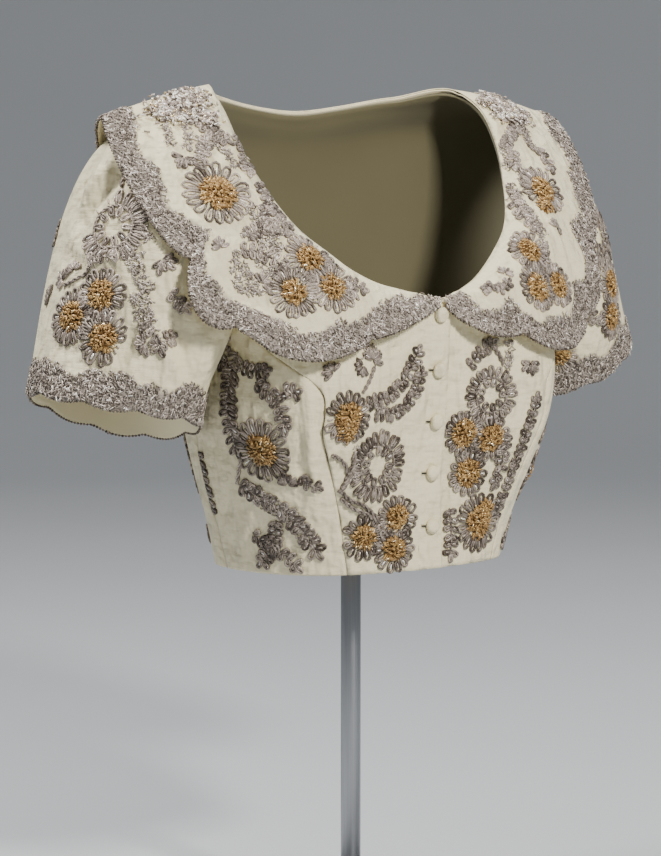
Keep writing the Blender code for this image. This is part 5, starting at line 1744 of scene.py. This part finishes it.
def edge_beads(work, grid, normals):
    """A row of small dark beads along a grid's edge."""
    size = settings().bead_radius
    edge, out = grid[:, -1], normals[:, -1]
    line = edge + unit(edge - grid[:, -2]) * size * 0.5 - out * CLOTH / 2
    along = measured(edge)
    rows = np.interp(np.arange(0, along[-1], size * 2.5), along, np.arange(len(along)))
    pairs = [np.stack([both, both], axis=1) for both in (line, out)]
    columns = np.zeros(len(rows))
    middle, _ = on_grid(*pairs, rows, columns)
    ahead, up = on_grid(*pairs, rows + 0.2, columns)
    way = unit(ahead - middle + 1e-9)
    paths = middle[:, None] + strokes(way, np.full(len(rows), size * 0.9))
    thick = size * work.draw(len(rows), 0.85, 1.15)
    work.strands(paths, up, thick, work.tone(len(rows), 0.0, 0.35), TAUPE, 6, 0.45)


def buttonhole(work, seat):
    """A stitched slit that runs from under a button away from the lap's edge."""
    rows = seat + HOLE_START + np.linspace(0, HOLE_LENGTH, 15)[:, None] * np.array([-1, 0, 0.06])
    for hand in (-1, 1):
        stitches = strokes(np.array([[0.0001, 0, 0.0009]]), np.ones(1))
        paths = (rows + np.array([0, 0, 0.0009 * hand]))[:, None] + stitches
        tone = work.tone(len(rows), 0.3, 1.0)
        work.laid("front_right", paths, 0.0002, 0.00034, tone, 0)
    # The slit between the stitches, near-black as painted shade
    work.laid("front_right", rows[None, [1, 5, 9, 14]], 0.0004, 0.0010, 0.0, 1)


# What a user sets
def colour_of(name, description, default):
    return bpy.props.FloatVectorProperty(
        name=name, description=description, subtype="COLOR", size=3, min=0, max=1, default=default
    )


def length_of(name, description, default):
    return bpy.props.FloatProperty(
        name=name, description=description, unit="LENGTH", min=0.0001, default=default, precision=5
    )


def power_of(name, description, default):
    return bpy.props.FloatProperty(
        name=name, description=description, unit="POWER", min=0, default=default
    )


class BoleroSettings(bpy.types.PropertyGroup):
    """Sizes and colours of the jacket's finishes."""

    ivory: colour_of("Ivory", "Silk cloth", (0.80, 0.722, 0.480))
    # Dark and light pewter: painted shade and painted highlights of the grey beads
    pewter_dark: colour_of("Dark pewter", "Beadwork in its hollows", (0.108, 0.082, 0.060))
    pewter_light: colour_of("Light pewter", "Beadwork on its crests", (0.78, 0.695, 0.61))
    taupe_dark: colour_of(
        "Dark taupe", "Loops of petals and leaves, in shade", (0.050, 0.034, 0.024)
    )
    taupe_light: colour_of(
        "Light taupe", "Loops of petals and leaves, in light", (0.56, 0.475, 0.40)
    )
    # Dark and light gold: painted shade and painted highlights of the flower middles
    gold_dark: colour_of("Dark gold", "Flower middles in their hollows", (0.19, 0.096, 0.027))
    gold_light: colour_of("Light gold", "Flower middles on their crests", (0.62, 0.403, 0.155))
    olive: colour_of("Olive", "The form's covering", (0.115, 0.101, 0.047))
    steel: colour_of("Steel", "The stand", (0.36, 0.37, 0.39))
    floor: colour_of("Floor", "The plain studio floor", (0.50, 0.52, 0.54))
    band_depth: length_of("Band depth", "Depth of the beaded borders", BAND_DEPTH)
    band_density: bpy.props.FloatProperty(
        name="Band density", description="Strands on a square millimetre", min=0.01, default=0.28
    )
    purl_length: length_of("Purl length", "Length of a strand of purl", 0.0038)
    purl_radius: length_of("Purl radius", "Half the thickness of a strand", 0.00060)
    loop_radius: length_of("Loop radius", "Half the thickness of a petal's strand", 0.00122)
    bead_radius: length_of("Edge bead radius", "Size of the beads along the edges", 0.00120)
    key_power: power_of("Key light", "The main light", 81.0)
    fill_power: power_of("Side light", "The light from the left", 96.0)


# Pieces
class BOLERO_OT_panels(bpy.types.Operator):
    """Cloth of the fronts, the side fronts and the back"""

    bl_idname = "bolero.panels"
    bl_label = "Body cloth"

    def execute(self, context):
        for piece in BODY_PIECES:
            cloth(piece)
        return {"FINISHED"}


class BOLERO_OT_sleeves(bpy.types.Operator):
    """Cloth of both puffed sleeves"""

    bl_idname = "bolero.sleeves"
    bl_label = "Sleeves"

    def execute(self, context):
        for piece in SLEEVE_PIECES:
            cloth(piece)
        return {"FINISHED"}


class BOLERO_OT_collar(bpy.types.Operator):
    """Cloth of the wide scalloped collar"""

    bl_idname = "bolero.collar"
    bl_label = "Collar"

    def execute(self, context):
        cloth("collar")
        return {"FINISHED"}


class BOLERO_OT_bands(bpy.types.Operator):
    """Beaded borders of the collar and the cuffs"""

    bl_idname = "bolero.bands"
    bl_label = "Beaded borders"

    def execute(self, context):
        points = skin("collar")
        normals = outward(points, False)
        middle = len(points) // 2
        bead_band("collar_border_left", points[: middle + 1], normals[: middle + 1], 11)
        bead_band("collar_border_right", points[middle:], normals[middle:], 12)
        for seed, piece in enumerate(SLEEVE_PIECES, start=13):
            grids = skin(piece), outward(skin(piece), True)
            across = (np.swapaxes(grid, 0, 1) for grid in grids)
            bead_band("cuff_border_" + piece.split("_")[1], *across, seed)
        return {"FINISHED"}


class BOLERO_OT_beadwork(bpy.types.Operator):
    """Flowers, wreaths, sprays and scrolls on every cloth piece"""

    bl_idname = "bolero.beadwork"
    bl_label = "Beaded flowers and leaves"

    def execute(self, context):
        for seed, piece in enumerate(CUTS, start=31):
            sew(piece, "beadwork_" + piece, seed)
        return {"FINISHED"}


class BOLERO_OT_buttons(bpy.types.Operator):
    """Cloth-covered domed buttons and the holes beside them"""

    bl_idname = "bolero.buttons"
    bl_label = "Buttons and buttonholes"

    def execute(self, context):
        foot = ((0.0, 0.0), (BUTTON_RADIUS * 0.90, 0.0), (BUTTON_RADIUS * 0.985, BUTTON_EDGE * 0.5))
        rise = BUTTON_DOME - BUTTON_EDGE
        dome = [(BUTTON_RADIUS * cos, BUTTON_EDGE + rise * sin) for sin, cos in quarter(10)]
        work = Beadwork(71)
        for number, height in enumerate(BUTTON_HEIGHTS, start=1):
            level = level_at_height(height)
            out = body_normal(0.0, level)[0]
            seat = body(0.0, level)[0] + out * (overlap_lift(0.0) + BUTTON_SEAT)
            place = Matrix.Translation(seat) @ Matrix.Rotation(math.acos(out[2]), 4, "X")
            node, looks = f"button_{number}", (cloth_finish(), "button_cloth")
            turned("covered_" + node, [*foot, *dome], 36, *looks, node, place)
            if number > 1:
                buttonhole(work, seat)
        work.build("buttonholes", [thread_finish(), slit_shade_finish()])
        return {"FINISHED"}


class BOLERO_OT_form(bpy.types.Operator):
    """The olive display form and the board in its foot"""

    bl_idname = "bolero.form"
    bl_label = "Display form"

    def execute(self, context):
        mesh = grid_mesh(form_points(97, 41))
        bmesh.ops.remove_doubles(mesh, verts=mesh.verts, dist=1e-5)
        thicken(place_mesh("covered_form", mesh, [form_finish()], "form"), FORM_WALL)
        bpy.data.objects["form_board"].material_slots[0].material = wood_finish()
        return {"FINISHED"}


class BOLERO_OT_stand(bpy.types.Operator):
    """The steel pole, its flange and the round base plate"""

    bl_idname = "bolero.stand"
    bl_label = "Stand"

    def execute(self, context):
        under = HEM_HEIGHT + BOARD_LOW - SEAM_GAP
        base = socket_profile(0.0, BASE_THICK, HUB_TOP, BASE_RADIUS, HUB_RADIUS)
        plate = under - PLATE_THICK
        flange = socket_profile(under, plate, under - SOCKET_DROP, PLATE_RADIUS, SOCKET_RADIUS)
        low, high = BASE_THICK + SEAM_GAP, plate - SEAM_GAP
        pole = ((0.0, low), (POLE_RADIUS, low), (POLE_RADIUS, high), (0.0, high))
        turns = {"base": (base, 96), "flange": (flange, 64), "pole": (pole, 64)}
        for name, (profile, steps) in turns.items():
            turned("steel_" + name, profile, steps, steel_finish(), "stand_steel", "stand_" + name)
        return {"FINISHED"}


def socket_profile(outer, inner, mouth, plate_radius, socket_radius):
    """A round plate between two heights, with a socket for the pole up or down to its mouth."""
    bore = POLE_RADIUS + SEAM_GAP
    plate = ((0.0, outer), (plate_radius, outer), (plate_radius, inner), (socket_radius, inner))
    return (*plate, (socket_radius, mouth), (bore, mouth), (bore, inner), (0.0, inner))


class BOLERO_OT_stage(bpy.types.Operator):
    """A plain pale floor that rises round the jacket, soft lights and the camera"""

    bl_idname = "bolero.stage"
    bl_label = "Studio"

    def execute(self, context):
        curve = [(FLAT + CURVE * sin, CURVE - CURVE * cos) for sin, cos in quarter(12, 1)]
        mesh = spun([(0.0, 0.0), (FLAT, 0.0), *curve, (FLAT + CURVE, WALL_TOP)], 64, 1e-5)
        bmesh.ops.recalc_face_normals(mesh, faces=mesh.faces)
        centre = min(mesh.faces, key=lambda face: face.calc_center_median().length)
        if centre.normal.z < 0:
            bmesh.ops.reverse_faces(mesh, faces=mesh.faces)
        data = bpy.data.meshes.new("studio_floor")
        mesh.to_mesh(data)
        mesh.free()
        data.shade_smooth()
        data.materials.append(floor_finish())
        shown("studio_floor", data)

        place, *directions = camera_place()
        lens = bpy.data.cameras.new("camera")
        lens.sensor_fit = "VERTICAL"
        lens.sensor_height = SENSOR
        lens.lens = FOCAL_PIXELS * SENSOR / PHOTO_HIGH
        context.scene.camera = aimed(shown("camera", lens), place, directions[2])

        middle = np.array([0, 0, HEM_HEIGHT + LIT_HEIGHT])
        fill = settings().fill_power
        powers = {"key_light": settings().key_power, "side_light": fill, "rim_light": fill * 0.1}
        for name, (away, size, colour) in LIGHTS.items():
            light = bpy.data.lights.new(name, "AREA")
            light.size, light.energy, light.color = size, powers[name], colour
            place = middle + sum(share * way for share, way in zip(away, directions))
            aimed(shown(name, light), place, middle - place)
        world = bpy.data.worlds.new("studio_air")
        world.use_nodes = True
        air = world.node_tree.nodes["Background"].inputs
        air["Color"].default_value, air["Strength"].default_value = AIR_COLOUR, AIR_STRENGTH
        context.scene.world = world
        return {"FINISHED"}


def aimed(made, place, way):
    """Puts a camera or a light at a place and turns it to look a certain way."""
    made.location = place
    made.rotation_euler = Vector(way).to_track_quat("-Z", "Y").to_euler()
    return made


class BOLERO_PT_panel(bpy.types.Panel):
    """Lists the jacket's pieces, sizes and colours"""

    bl_idname = "BOLERO_PT_panel"
    bl_label = "Beaded bolero"
    bl_space_type = "VIEW_3D"
    bl_region_type = "UI"
    bl_category = "Bolero"

    def draw(self, context):
        for kind in OPERATORS:
            self.layout.operator(kind.bl_idname)
        for name in BoleroSettings.__annotations__:
            self.layout.prop(context.scene.bolero, name)


OPERATORS = (
    BOLERO_OT_panels,
    BOLERO_OT_sleeves,
    BOLERO_OT_collar,
    BOLERO_OT_bands,
    BOLERO_OT_beadwork,
    BOLERO_OT_buttons,
    BOLERO_OT_form,
    BOLERO_OT_stand,
    BOLERO_OT_stage,
)
CLASSES = (BoleroSettings, *OPERATORS, BOLERO_PT_panel)


def register():
    for kind in CLASSES:
        bpy.utils.register_class(kind)
    bpy.types.Scene.bolero = bpy.props.PointerProperty(type=BoleroSettings)


def unregister():
    del bpy.types.Scene.bolero
    for kind in reversed(CLASSES):
        bpy.utils.unregister_class(kind)


def main():
    register()
    for kind in OPERATORS:
        getattr(bpy.ops.bolero, kind.bl_idname.split(".")[1])()


if __name__ == "__main__":
    main()
